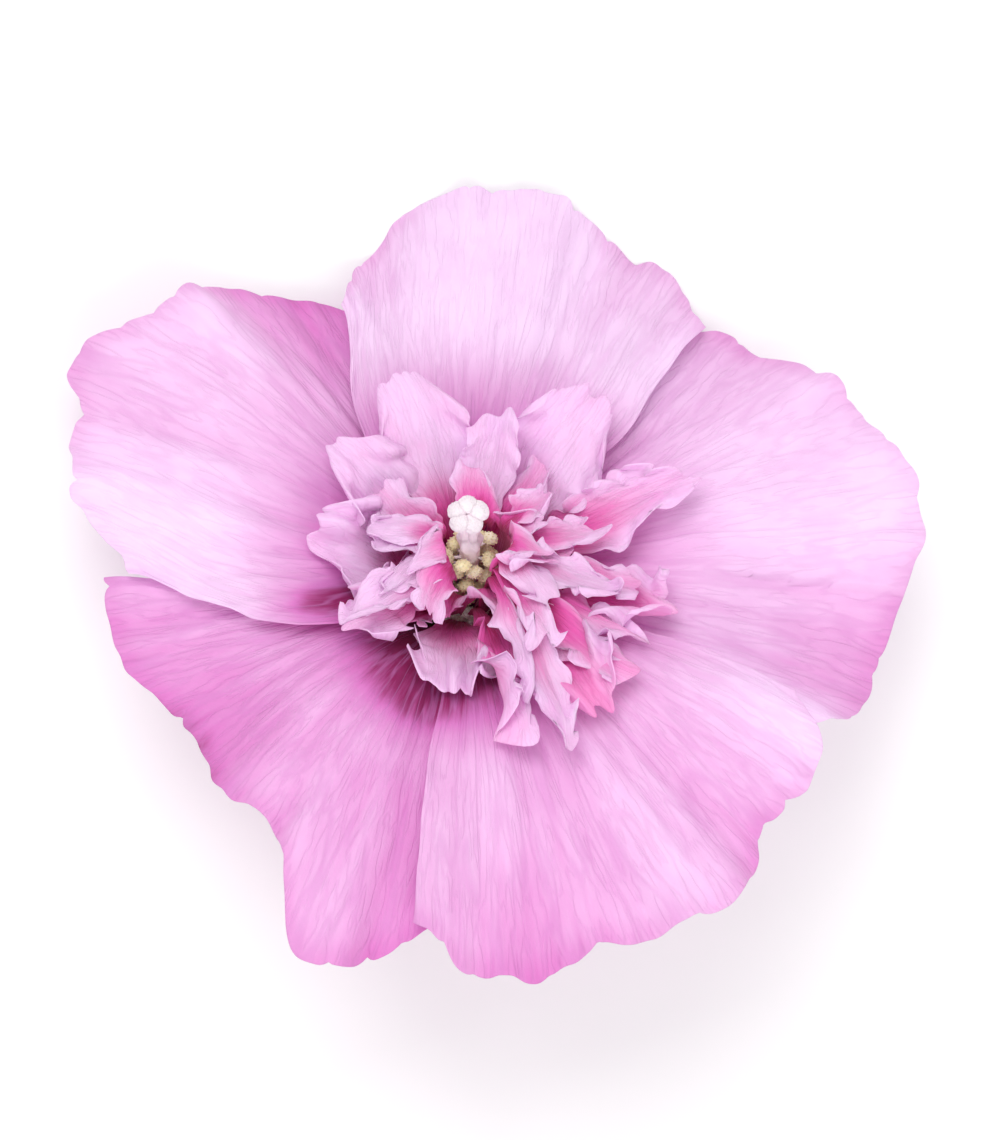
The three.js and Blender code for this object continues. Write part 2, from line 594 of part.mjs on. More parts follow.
// The stem ------------------------------------------------------------------------------------------------
// It widens into the receptacle under the calyx, bends over and runs along the table to its cut end.
function stemGeometry() {
  const axisPoint = (height) => new THREE.Vector3(0, 0, height).applyMatrix4(bloom.matrixWorld);
  const top = CALYX_FLOOR - CALYX_THICKNESS - SEAT_GAP;
  const foot = axisPoint(top - RECEPTACLE.depth);
  const endY = CENTRE_Y + STEM.end;
  const course = [
    axisPoint(top - 0.6),
    foot,
    new THREE.Vector3(CENTRE_X, foot.y + 4.2, foot.z - 3.9),
    new THREE.Vector3(CENTRE_X + 0.2 * STEM.drift, foot.y + 12, 1.7),
    new THREE.Vector3(CENTRE_X + 0.6 * STEM.drift, foot.y + 25, 1.9),
    new THREE.Vector3(CENTRE_X + STEM.drift, endY, STEM.cut - FLAT_SINK),
  ];
  const path = new THREE.CatmullRomCurve3(course, false, "catmullrom", 0.5);
  const surface = { position: [], index: [] };
  const ringOf = (n) => {
    const t = n / STEM.steps;
    const middle = path.getPoint(t);
    const along = path.getTangent(t);
    const side = new THREE.Vector3(1, 0, 0).addScaledVector(along, -along.x).normalize();
    const up = new THREE.Vector3().crossVectors(along, side);
    const joint = 0.35 * bell((t - 0.5) / 0.035);
    const radius = STEM.pedicel + (STEM.cut - STEM.pedicel) * smooth((t - 0.3) / 0.4) + joint;
    for (let k = 0; k < STEM.sides; k += 1) {
      const angle = (360 / STEM.sides) * (k + 0.5) * DEGREE;
      const point = middle
        .clone()
        .addScaledVector(side, radius * Math.cos(angle))
        .addScaledVector(up, radius * Math.sin(angle));
      surface.position.push(...point.toArray());
    }
  };
  for (let n = 0; n <= STEM.steps; n += 1) ringOf(n);
  for (let n = 0; n < STEM.steps; n += 1) {
    for (let k = 0; k < STEM.sides; k += 1) {
      const a = n * STEM.sides + k;
      const b = n * STEM.sides + ((k + 1) % STEM.sides);
      surface.index.push(a, b, b + STEM.sides, a, b + STEM.sides, a + STEM.sides);
    }
  }
  const last = STEM.steps * STEM.sides;
  for (let k = 1; k < STEM.sides - 1; k += 1) {
    surface.index.push(0, k + 1, k, last, last + k, last + k + 1);
  }
  const bark = new THREE.BufferGeometry()
    .setAttribute("position", new THREE.Float32BufferAttribute(surface.position, 3))
    .setIndex(surface.index);
  const receptacle = turned(
    [
      [0, top - RECEPTACLE.depth],
      [STEM.pedicel + 0.3, top - RECEPTACLE.depth],
      [RECEPTACLE.radius - 1, top - 1.2],
      [RECEPTACLE.radius, top],
      [0, top],
    ],
    16,
  ).applyMatrix4(bloom.matrixWorld);
  const table = new THREE.BoxGeometry(200, 200, 20).translate(0, 0, -10);
  return geometryOf(solidOf(bark).add(solidOf(receptacle)).subtract(solidOf(table)));
}

const flower = new THREE.Group();
flower.add(bloom);
addTo(flower, "stem", stemGeometry(), barkBrown);

export default flower;
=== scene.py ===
"""Visual model of a picked hibiscus flower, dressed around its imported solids.

The flower lies face up on a table: five broad waved petals over a green bell, a ruffled heart of
petal-like stamens, a pale column with anthers and stigmas, and a short cut stem. Every form is worked
out in the bloom's own frame, in millimetres, with +Z along the flower's axis and the petals' claws
near the origin, and is then turned and lifted to the way the flower lies.
"""

from __future__ import annotations

import logging
from dataclasses import dataclass, field, replace
from enum import Enum
from typing import Any

import bpy
import numpy as np
from mathutils import Matrix, Vector

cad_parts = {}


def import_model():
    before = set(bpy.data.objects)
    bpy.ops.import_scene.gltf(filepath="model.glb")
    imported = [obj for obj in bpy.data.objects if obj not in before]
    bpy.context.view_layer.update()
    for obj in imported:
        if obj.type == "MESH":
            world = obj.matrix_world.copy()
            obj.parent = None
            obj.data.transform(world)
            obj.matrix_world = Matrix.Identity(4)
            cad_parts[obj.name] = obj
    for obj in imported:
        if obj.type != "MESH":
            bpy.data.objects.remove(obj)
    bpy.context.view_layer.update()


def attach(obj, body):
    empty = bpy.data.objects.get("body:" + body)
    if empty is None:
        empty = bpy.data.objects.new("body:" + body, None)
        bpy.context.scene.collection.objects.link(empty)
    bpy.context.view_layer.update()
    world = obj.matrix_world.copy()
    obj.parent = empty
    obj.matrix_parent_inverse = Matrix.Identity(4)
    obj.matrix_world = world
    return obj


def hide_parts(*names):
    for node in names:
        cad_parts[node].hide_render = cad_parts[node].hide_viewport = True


log = logging.getLogger("hibiscus")

Array = np.ndarray
Number = Array | float
Colour = tuple[float, float, float, float]
MM = 0.001
UP = np.array([0.0, 0.0, 1.0])
BODY = "root"

# How the flower lies: degrees that it leans towards -Y, and where its axis starts, in mm.
LEAN = 30.0
SEAT = (3.45, 7.20, 11.05)


class Slot(Enum):
    """The material slots."""

    PETAL = "petal"
    PETALOID = "petaloid"
    COLUMN = "column"
    SEPAL = "sepal"
    STEM = "stem"


class Over(Enum):
    """Whether a petal's margin lies over or under its neighbour's."""

    OVER = 1.0
    UNDER = -1.0


# Small formulas -----------------------------------------------------------------------------------


def smooth(x: Number) -> Array:
    """Smooth step from 0 to 1 as x goes from 0 to 1."""
    t = np.clip(x, 0.0, 1.0)
    return t * t * (3.0 - 2.0 * t)


def bell(x: Number) -> Array:
    """Bell curve, 1 at x = 0."""
    return np.exp(-np.square(x))


def wrapped(degrees: Number) -> Array:
    """The same angle between -180 and 180 degrees."""
    return (np.asarray(degrees) + 180.0) % 360.0 - 180.0


def draw(i: Number, k: Number) -> Array:
    """Repeatable draw from 0 to 1 for repeat number i and property k."""
    x = np.sin(np.asarray(i) * 12.9898 + k * 78.233) * 43758.5453
    return x - np.floor(x)


def spline(padded: Array, t: Array) -> Array:
    """Value on the smooth curve through evenly spaced values.

    Args:
        padded: The values in order, with one more at either end that only steers the curve.
        t: Share of the curve's length, from 0 to 1.

    Returns:
        The uniform Catmull-Rom spline's value at each t.
    """
    last = len(padded) - 3
    place = np.clip(t, 0.0, 1.0) * last
    i = np.minimum(place.astype(int), last - 1)
    w = (place - i).reshape(place.shape + (1,) * (padded.ndim - 1))
    p0, p1, p2, p3 = (padded[i + k] for k in range(4))
    v0, v1 = (p2 - p0) * 0.5, (p3 - p1) * 0.5
    return ((2 * p1 - 2 * p2 + v0 + v1) * w + (3 * p2 - 3 * p1 - 2 * v0 - v1)) * w * w + v0 * w + p1


def noise(x: Number, y: Number, seed: int) -> Array:
    """Smooth random field between -1 and 1, alike on each run.

    Each whole-numbered place of the plane gets a value hashed from it, and the values are blended
    between with a quintic step.

    Args:
        x: First place on the plane.
        y: Second place on the plane.
        seed: Number that sets the field apart from others.

    Returns:
        The field's value at each place.
    """
    xi, yi = np.floor(x).astype(np.int64), np.floor(y).astype(np.int64)
    fx, fy = x - xi, y - yi
    wx, wy = (f**3 * (f * (6 * f - 15) + 10) for f in (fx, fy))

    def lattice(i: Array, j: Array) -> Array:
        """Hashed value at whole numbers i and j."""
        h = (i * 374761393 + j * 668265263 + seed * 144269504) & 0x7FFFFFFF
        h = ((h ^ (h >> 13)) * 1274126177) & 0x7FFFFFFF
        return ((h ^ (h >> 16)) & 0xFFFF) / 32767.5 - 1.0

    low = lattice(xi, yi) * (1 - wx) + lattice(xi + 1, yi) * wx
    high = lattice(xi, yi + 1) * (1 - wx) + lattice(xi + 1, yi + 1) * wx
    return low * (1 - wy) + high * wy


def bloom_to_world(points: Array) -> Array:
    """Places points in the world: half a turn, then the lean, then the lift to the seat.

    Args:
        points: Points in the bloom's frame, in mm.

    Returns:
        The same points in the world's frame, in metres.
    """
    lean = np.radians(LEAN)
    x, y, z = -points[..., 0], -points[..., 1], points[..., 2]
    placed = (
        x + SEAT[0],
        y * np.cos(lean) - z * np.sin(lean) + SEAT[1],
        y * np.sin(lean) + z * np.cos(lean) + SEAT[2],
    )
    return np.stack(placed, axis=-1) * MM


def bloom_direction(x: float, y: float, z: float) -> Vector:
    """A direction of the bloom's frame as a world direction of length 1."""
    ends = bloom_to_world(np.array([[0.0, 0.0, 0.0], [x, y, z]]))
    return Vector(ends[1] - ends[0]).normalized()


def polar(degrees: Number, radius: Number, height: Number) -> Array:
    """Points at an azimuth in degrees, a radius and a height."""
    a = np.radians(degrees)
    return np.stack(np.broadcast_arrays(radius * np.cos(a), radius * np.sin(a), height), axis=-1)


def round_axis(points: Array) -> tuple[Array, Array]:
    """Azimuth in degrees and radius of points."""
    x, y = points[..., 0], points[..., 1]
    return np.degrees(np.arctan2(y, x)), np.hypot(x, y)


def turns(count: int) -> Array:
    """Even azimuths all round, in degrees."""
    return np.linspace(0.0, 360.0, count, endpoint=False)


def unit(v: Array) -> Array:
    """Vectors scaled to length 1."""
    return v / np.maximum(np.linalg.norm(v, axis=-1, keepdims=True), 1e-12)


def square_to(v: Array) -> tuple[Array, Array]:
    """Two unit vectors that are square to a unit vector and to each other."""
    steady = np.where(np.abs(v[..., 2:]) < 0.9, UP, [1.0, 0.0, 0.0])
    side = unit(np.cross(v, steady))
    return side, np.cross(v, side)


def normals(surface: Array) -> Array:
    """Normals of a grid of points, [row, column, 3]."""
    return unit(np.cross(np.gradient(surface, axis=0), np.gradient(surface, axis=1)))


def frames(path: Array, sides: int) -> tuple[Array, Array]:
    """Directions along a path, and even rings of directions square to it.

    Args:
        path: Points of the path, [point, 3].
        sides: Directions in a ring.

    Returns:
        The directions along it, [point, 3], and the rings, [point, side, 3].
    """
    along = unit(np.gradient(path, axis=0))
    steady = np.array([1.0, 0.0, 0.0]) if abs(along[0, 0]) < 0.8 else np.array([0.0, 1.0, 0.0])
    side = unit(steady - along * (along @ steady)[:, None])
    a = np.radians(turns(sides))[:, None]
    return along, side[:, None] * np.cos(a) + np.cross(along, side)[:, None] * np.sin(a)


def around(count: int) -> Array:
    """Even directions all round, each next one a golden turn on and a step lower."""
    k = np.arange(count)
    up = 1 - 2 * (k + 0.5) / count
    return polar(137.508 * k, np.sqrt(1 - up * up), up)


def grid(across: int, along: int) -> tuple[Array, Array]:
    """Even grid of s from -1 to 1, across, and t from 0 to 1, along, as arrays [along, across]."""
    s, t = np.linspace(-1, 1, across + 1), np.linspace(0, 1, along + 1)
    return np.meshgrid(s, t)


# Meshes -------------------------------------------------------------------------------------------


def bands(index: Array) -> Array:
    """Quads between each row of point numbers, which closes on itself, and the next row."""
    on = np.roll(index, -1, axis=1)
    return np.stack([index[:-1], on[:-1], on[1:], index[1:]], axis=-1).reshape(-1, 4)


def even_map(rows: int, cols: int) -> Array:
    """Even UV places of a grid of points, [row, column, 2]."""
    s, t = grid(cols - 1, rows - 1)
    return np.stack([(s + 1) / 2, t], axis=-1)


def linked(name: str, data: bpy.types.ID) -> bpy.types.Object:
    """Makes an object and links it to the scene.

    Args:
        name: Its name.
        data: Its mesh, light or camera.

    Returns:
        The object.
    """
    made = bpy.data.objects.new(name, data)
    bpy.context.scene.collection.objects.link(made)
    return made


@dataclass
class Skin:
    """The surfaces of one piece, gathered in the bloom's frame or the world's and made one mesh.

    Attributes:
        name: The piece's name.
        in_bloom: Whether the points are in the bloom's frame, in mm, and not in world mm.
        points: Points gathered so far, in blocks.
        faces: Numbers of the points of each face, in blocks.
        places: UV place of each point, in blocks.
        tones: Tone of each point, in blocks.
        size: How many points there are.
    """

    name: str
    in_bloom: bool = True
    points: list[Array] = field(default_factory=list)
    faces: list[Array] = field(default_factory=list)
    places: list[Array] = field(default_factory=list)
    tones: list[Array] = field(default_factory=list)
    size: int = 0

    def take(self, points: Array, faces: list[Array], tone: Number, place: Any = (0.5, 0.5)) -> None:
        """Adds points and the faces between them.

        Args:
            points: The points, [..., 3].
            faces: Blocks of faces, whose numbers count from the first of the points.
            tone: Tone of each point.
            place: UV place of each point.
        """
        flat = points.reshape(-1, 3)
        self.points.append(flat)
        self.places.append(np.broadcast_to(place, (*points.shape[:-1], 2)).reshape(-1, 2))
        self.tones.append(np.broadcast_to(tone, points.shape[:-1]).reshape(-1))
        self.faces.extend(f + self.size for f in faces)
        self.size += len(flat)

    def add_blade(self, middle: Array, half: Number, tone: Number) -> None:
        """Adds a closed thin blade with a rounded edge.

        The two faces stand half a thickness off the middle surface along its normals, and the edge
        bulges out between them by the same amount.

        Args:
            middle: Points of the middle surface, [along, across, 3].
            half: Half of the thickness at each point, in mm.
            tone: Value from 0 to 1 that the finish reads at each point.
        """
        rows, cols = middle.shape[:2]
        count = rows * cols
        half, tone = (np.broadcast_to(x, (rows, cols)) for x in (half, tone))
        place = even_map(rows, cols)
        index = np.arange(count).reshape(rows, cols)
        corners = index[:-1, :-1], index[1:, :-1], index[1:, 1:], index[:-1, 1:]
        face = np.stack(corners, axis=-1).reshape(-1, 4)
        # the boundary, in the order in which the face's quads run along it, and its inner neighbours
        j, i = np.arange(rows - 1), np.arange(cols - 1)
        edge_j = np.concatenate([j, 0 * i + rows - 1, rows - 1 - j, 0 * i])
        edge_i = np.concatenate([0 * j, i, 0 * j + cols - 1, cols - 1 - i])
        edge, inner = (edge_j, edge_i), (np.clip(edge_j, 1, rows - 2), np.clip(edge_i, 1, cols - 2))
        ring = index[edge]
        rim = np.arange(len(ring)) + 2 * count
        ring_on, rim_on = np.roll(ring, -1), np.roll(rim, -1)
        upper = np.stack([ring_on, ring, rim, rim_on], axis=-1)
        lower = np.stack([rim_on, rim, ring + count, ring_on + count], axis=-1)
        offset = normals(middle) * half[..., None]
        bulge = unit(middle[edge] - middle[inner]) * half[edge][:, None]
        sides = [(middle + offset).reshape(-1, 3), (middle - offset).reshape(-1, 3)]
        self.take(
            np.concatenate([*sides, middle[edge] + bulge]),
            [face, face[:, ::-1] + count, upper, lower],
            np.concatenate([tone.reshape(-1)] * 2 + [tone[edge]]),
            np.concatenate([place.reshape(-1, 2)] * 2 + [place[edge]]),
        )

    def add_shell(self, rings: Array, tone: Number) -> None:
        """Adds a closed skin of rings of points, [ring, round, 3], closed by a fan at both ends.

        The rings run so that their points turn anticlockwise, seen from beyond the last ring.

        Args:
            rings: The rings, in order.
            tone: Tone of each point, or of each ring.
        """
        count, sides = rings.shape[:2]
        index = np.arange(count * sides).reshape(count, sides)
        on = np.roll(index, -1, axis=1)
        start = np.full(sides, count * sides)
        foot = np.stack([on[0], index[0], start], axis=-1)
        top = np.stack([index[-1], on[-1], start + 1], axis=-1)
        tone = np.broadcast_to(tone, (count, sides))
        self.take(
            np.concatenate([rings.reshape(-1, 3), [rings[0].mean(axis=0), rings[-1].mean(axis=0)]]),
            [bands(index), foot, top],
            np.concatenate([tone.reshape(-1), [tone[0].mean(), tone[-1].mean()]]),
            np.concatenate([even_map(count, sides).reshape(-1, 2), [[0.5, 0.0], [0.5, 1.0]]]),
        )

    def add_hoop(self, rings: Array, tone: Number) -> None:
        """Adds a closed hoop of rings of points, [ring, round, 3], the last joined to the first."""
        index = np.arange(rings[..., 0].size).reshape(rings.shape[:2])
        self.take(rings, [bands(np.concatenate([index, index[:1]]))], tone, (0.5, 0.1))

    def add_tube(self, path: Array, radius: Number, sides: int, tone: float) -> None:
        """Adds a closed round tube of a radius at each point of a path, [point, 3]."""
        ring = frames(path, sides)[1]
        self.add_shell(path[:, None] + ring * np.reshape(radius, (-1, 1, 1)), tone)

    def add_blob(self, centre: Array, pole: Array, length: float, width: float, dent: float,
                 tone: float, rows: int, sides: int) -> None:
        """Adds an uneven oval head with a groove along one side.

        Args:
            centre: Its middle.
            pole: Direction of its long axis.
            length: Half length.
            width: Half width.
            dent: Depth of the groove as a share of the half width.
            tone: Value that the finish reads.
            rows: Rings from pole to pole.
            sides: Points of a ring.
        """
        pole = unit(pole)
        side, up = square_to(pole)
        latitude = np.radians(np.linspace(-82.8, 82.8, rows))[:, None]
        a = np.radians(turns(sides))[None, :]
        groove = 1 - dent * bell((a - np.pi / 2) / 0.5) * np.cos(latitude)
        uneven = 1 + 0.09 * noise(3 * np.cos(a) + 5 * latitude, 3 * np.sin(a) + centre[0], 7)
        out = width * np.cos(latitude) * groove * uneven
        rings = (
            centre
            + pole * (length * np.sin(latitude))[..., None]
            + side * (out * np.cos(a))[..., None]
            + up * (out * np.sin(a))[..., None]
        )
        self.add_shell(rings, tone)

    def add_grains(self, centres: Array, radius: float, tone: float) -> None:
        """Adds small round grains, each an icosahedron.

        Its corners are the ends of three golden rectangles, and its faces the triples of them that
        are next to each other.

        Args:
            centres: Their middles, [grain, 3].
            radius: Their radius.
            tone: Value that the finish reads.
        """
        g = (1 + 5**0.5) / 2
        ends = [(0, a, b * g) for a in (-1, 1) for b in (-1, 1)]
        corners = unit(np.array([np.roll(end, k) for end in ends for k in range(3)], float))
        gaps = np.linalg.norm(corners[:, None] - corners[None], axis=-1)
        near = (gaps > 0.1) & (gaps < 1.1)
        i, j, k = np.nonzero(near[:, :, None] & near[:, None, :] & near[None])
        turn = np.einsum("na,na->n", np.cross(corners[i], corners[j]), corners[k])
        face = np.stack([i, j, k], axis=-1)[(i < j) & (i < k) & (turn > 0)]
        first = (np.arange(len(centres)) * len(corners))[:, None, None]
        self.take(centres[:, None] + corners * radius, [(face + first).reshape(-1, 3)], tone)

    def add_hairs(self, roots: Array, lean: Array, length: Array, width: float, tone: float) -> None:
        """Adds fine hairs, each a three-sided spike.

        Args:
            roots: Where they start, [hair, 3].
            lean: Their directions, [hair, 3].
            length: Their lengths.
            width: Half of their width at the root.
            tone: Value that the finish reads.
        """
        side, up = square_to(lean)
        a = np.radians(turns(3))[:, None]
        feet = roots[:, None] + width * (side[:, None] * np.cos(a) + up[:, None] * np.sin(a))
        tips = roots + lean * length[:, None]
        first = np.arange(len(roots))[:, None] * 4
        faces = [first + np.array([face]) for face in ([0, 1, 3], [1, 2, 3], [2, 0, 3], [2, 1, 0])]
        self.take(np.concatenate([feet, tips[:, None]], axis=1), faces, tone)

    def add_down(self, wall: Array, rows: Array, cols: Array, lift: float, length: Array) -> None:
        """Adds hairs at places of a wall, along its normals, each leant its own way.

        Args:
            wall: Points of the wall, [row, column, 3].
            rows: Row of each hair.
            cols: Column of each hair.
            lift: How far the hairs start off the wall's points, in mm.
            length: Their lengths, in mm.
        """
        normal = -normals(wall)[rows, cols]
        own = np.stack([draw(rows * 31 + cols, k) for k in (42.0, 43.0, 44.0)], axis=-1) - 0.5
        roots = wall[rows, cols] + normal * lift
        self.add_hairs(roots, unit(normal + 0.9 * own), length, 0.03, 1.0)

    def make(self, finish: bpy.types.Material, slot: Slot, *nodes: str) -> None:
        """Makes the piece, smooth shaded, and gives it its finish and its place on the frame.

        Its mesh has the map "Place" and the attribute "tone", which the finishes read.

        Args:
            finish: Its material.
            slot: Not used.
            *nodes: The CAD nodes that it stands for.
        """
        points = np.concatenate(self.points)
        points = bloom_to_world(points) if self.in_bloom else points * MM
        faces = [row for block in self.faces for row in block.tolist()]
        mesh = bpy.data.meshes.new(self.name)
        mesh.from_pydata(points.tolist(), [], faces)
        corner = np.empty(len(mesh.loops), dtype=np.int32)
        mesh.loops.foreach_get("vertex_index", corner)
        uv = mesh.uv_layers.new(name="Place")
        uv.data.foreach_set("uv", np.concatenate(self.places)[corner].ravel())
        tone = mesh.attributes.new("tone", "FLOAT", "POINT")
        tone.data.foreach_set("value", np.concatenate(self.tones).astype(np.float32))
        mesh.polygons.foreach_set("use_smooth", np.ones(len(mesh.polygons), dtype=bool))
        mesh.update()
        mesh.materials.append(finish)
        piece = linked(self.name, mesh)
        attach(piece, BODY)
        if nodes:
            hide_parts(*nodes)
        log.info("%s: %d faces for %s", self.name, len(faces), ", ".join(nodes) or "no node")


# Finishes -----------------------------------------------------------------------------------------


def srgb(red: float, green: float, blue: float) -> Colour:
    """A colour of 0 to 255 parts as the linear colour that nodes take."""
    parts = np.array([red, green, blue]) / 255.0
    linear = np.where(parts <= 0.04045, parts / 12.92, ((parts + 0.055) / 1.055) ** 2.4)
    return (*(float(p) for p in linear), 1.0)


class Bench:
    """Puts nodes into one node tree and joins them."""

    def __init__(self, tree: bpy.types.NodeTree) -> None:
        """Starts on an empty tree."""
        self.tree = tree
        self.tree.nodes.clear()

    def node(self, kind: str, inputs: dict[Any, Any] | None = None, **settings: Any) -> Any:
        """Adds a node.

        Args:
            kind: The node's type name.
            inputs: What goes into its sockets, by name or number: a socket or a plain value.
            **settings: Its other properties.

        Returns:
            The node's outputs.
        """
        made = self.tree.nodes.new(kind)
        for name, value in settings.items():
            setattr(made, name, value)
        for key, value in (inputs or {}).items():
            if isinstance(value, bpy.types.NodeSocket):
                self.tree.links.new(value, made.inputs[key])
            else:
                made.inputs[key].default_value = value
        return made.outputs

    def math(self, operation: str, *values: Any) -> Any:
        """Output of a Math node on one or two sockets or numbers."""
        return self.node("ShaderNodeMath", dict(enumerate(values)), operation=operation)[0]

    def plus(self, first: Any, second: Any) -> Any:
        """Sum of two sockets or numbers."""
        return self.math("ADD", first, second)

    def minus(self, first: Any, second: Any) -> Any:
        """The first less the second."""
        return self.math("SUBTRACT", first, second)

    def times(self, first: Any, second: Any) -> Any:
        """Product of two sockets or numbers."""
        return self.math("MULTIPLY", first, second)

    def ramp(self, value: Any, low: float, high: float) -> Any:
        """Smooth step of a value from 0 at low to 1 at high."""
        inputs = {"Value": value, "From Min": low, "From Max": high, "To Min": 0.0, "To Max": 1.0}
        return self.node("ShaderNodeMapRange", inputs, interpolation_type="SMOOTHSTEP")[0]

    def blend(self, share: Any, first: Any, second: Any) -> Any:
        """Colour between two colours, by a share from 0 to 1."""
        return self.node("ShaderNodeMix", {0: share, 6: first, 7: second}, data_type="RGBA")[2]

    def noise(self, vector: Any, scale: Any, detail: float, roughness: float = 0.5) -> Any:
        """Noise value on a vector."""
        inputs = {"Vector": vector, "Scale": scale, "Detail": detail, "Roughness": roughness}
        return self.node("ShaderNodeTexNoise", inputs)["Fac"]

    def matt(self, colour: Any, height: Any, bump: float, depth: float, roughness: float,
             sheen: float, soft: float = 0.0) -> tuple[Any, Any]:
        """Shader of a soft matt surface.

        Args:
            colour: Its colour.
            height: Height of its bumps.
            bump: Strength of its bumps.
            depth: What a height of 1 measures, in metres.
            roughness: Its roughness.
            sheen: Weight of its sheen.
            soft: Share of light that spreads under it.

        Returns:
            The shader, and the normal of its bumps.
        """
        inputs = {"Height": height, "Strength": bump, "Distance": depth}
        normal = self.node("ShaderNodeBump", inputs)[0]
        solid = self.node(
            "ShaderNodeBsdfPrincipled",
            {
                "Base Color": colour,
                "Roughness": roughness,
                "Specular IOR Level": 0.3,
                "Subsurface Weight": soft,
                "Subsurface Radius": (1.0, 1.0, 1.0),
                "Subsurface Scale": 0.001,
                "Sheen Weight": sheen,
                "Sheen Roughness": 0.5,
                "Normal": normal,
            },
        )
        return solid[0], normal


def group(name: str, inputs: dict[str, tuple[str, Any]], outputs: list[str]) -> tuple[Bench, Any]:
    """An empty shader node group with named sockets.

    Args:
        name: The group's name.
        inputs: Socket kind and default value by name.
        outputs: Names of its outputs, which are all plain values.

    Returns:
        The group's bench, and the outputs of its input node.
    """
    tree = bpy.data.node_groups.new(name, "ShaderNodeTree")
    for label, (kind, value) in inputs.items():
        socket = tree.interface.new_socket(name=label, in_out="INPUT", socket_type=kind)
        if value is not None:
            socket.default_value = value
    for label in outputs:
        tree.interface.new_socket(name=label, in_out="OUTPUT", socket_type="NodeSocketFloat")
    bench = Bench(tree)
    return bench, bench.node("NodeGroupInput")


def vein_group() -> bpy.types.NodeTree:
    """The veins of a petal, which fan out from its claw and fork towards its rim.

    On the piece's own map, where x runs across and y along, a noise that is drawn out along y is
    folded at its middle value, so that its crease lines run lengthwise and fork. A coarse and a fine
    set are put together, and the fine set fades in with y.

    Returns:
        The node group, with the values "Veins" and "Streaks".
    """
    sockets = {"Place": ("NodeSocketVector", None), "Lines": ("NodeSocketFloat", 9.0)}
    bench, source = group("petal_veins", sockets, ["Veins", "Streaks"])
    x, y, _ = bench.node("ShaderNodeSeparateXYZ", {0: source["Place"]})
    ends = {0: bench.times(x, source["Lines"]), 1: bench.times(y, 1.6)}
    flow = bench.node("ShaderNodeCombineXYZ", ends)[0]
    creases = []
    for scale, width in ((1.6, 0.05), (4.4, 0.06)):
        away = bench.math("ABSOLUTE", bench.minus(bench.noise(flow, scale, 2.0, 0.45), 0.5))
        creases.append(bench.minus(1.0, bench.ramp(away, 0.0, width)))
    fine = bench.times(bench.times(creases[1], bench.ramp(y, 0.2, 0.7)), 0.7)
    veins = bench.math("MAXIMUM", creases[0], fine)
    bench.node("NodeGroupOutput", {"Veins": veins, "Streaks": bench.noise(flow, 2.6, 4.0, 0.6)})
    return bench.tree


def grain_group() -> bpy.types.NodeTree:
    """Fine grain of living tissue: small cells with a soft larger unevenness under them.

    Returns:
        The node group, with the values "Grain" and "Mottle".
    """
    sockets = {"Cell": ("NodeSocketFloat", 2500.0), "Swell": ("NodeSocketFloat", 300.0)}
    bench, source = group("tissue_grain", sockets, ["Grain", "Mottle"])
    place = bench.node("ShaderNodeTexCoord")["Object"]
    swell = bench.noise(place, source["Swell"], 3.0)
    grain = bench.plus(bench.times(bench.noise(place, source["Cell"], 2.0), 0.4), swell)
    bench.node("NodeGroupOutput", {"Grain": grain, "Mottle": swell})
    return bench.tree


@dataclass(frozen=True)
class TissueGroups:
    """The node groups that more than one finish uses."""

    veins: bpy.types.NodeTree
    grain: bpy.types.NodeTree

    def vein_node(self, bench: Bench, lines: float) -> Any:
        """Outputs of the veins on a piece's own map, with a number of lines across it."""
        place = bench.node("ShaderNodeUVMap", uv_map="Place")[0]
        return bench.node("ShaderNodeGroup", {"Place": place, "Lines": lines}, node_tree=self.veins)

    def grain_node(self, bench: Bench, cell: float, swell: float) -> Any:
        """Outputs of the grain at the scales of its cells and of its soft unevenness."""
        return bench.node("ShaderNodeGroup", {"Cell": cell, "Swell": swell}, node_tree=self.grain)


def new_material(name: str) -> tuple[bpy.types.Material, Bench]:
    """An empty node material and its bench."""
    made = bpy.data.materials.new(name)
    made.use_nodes = True
    return made, Bench(made.node_tree)


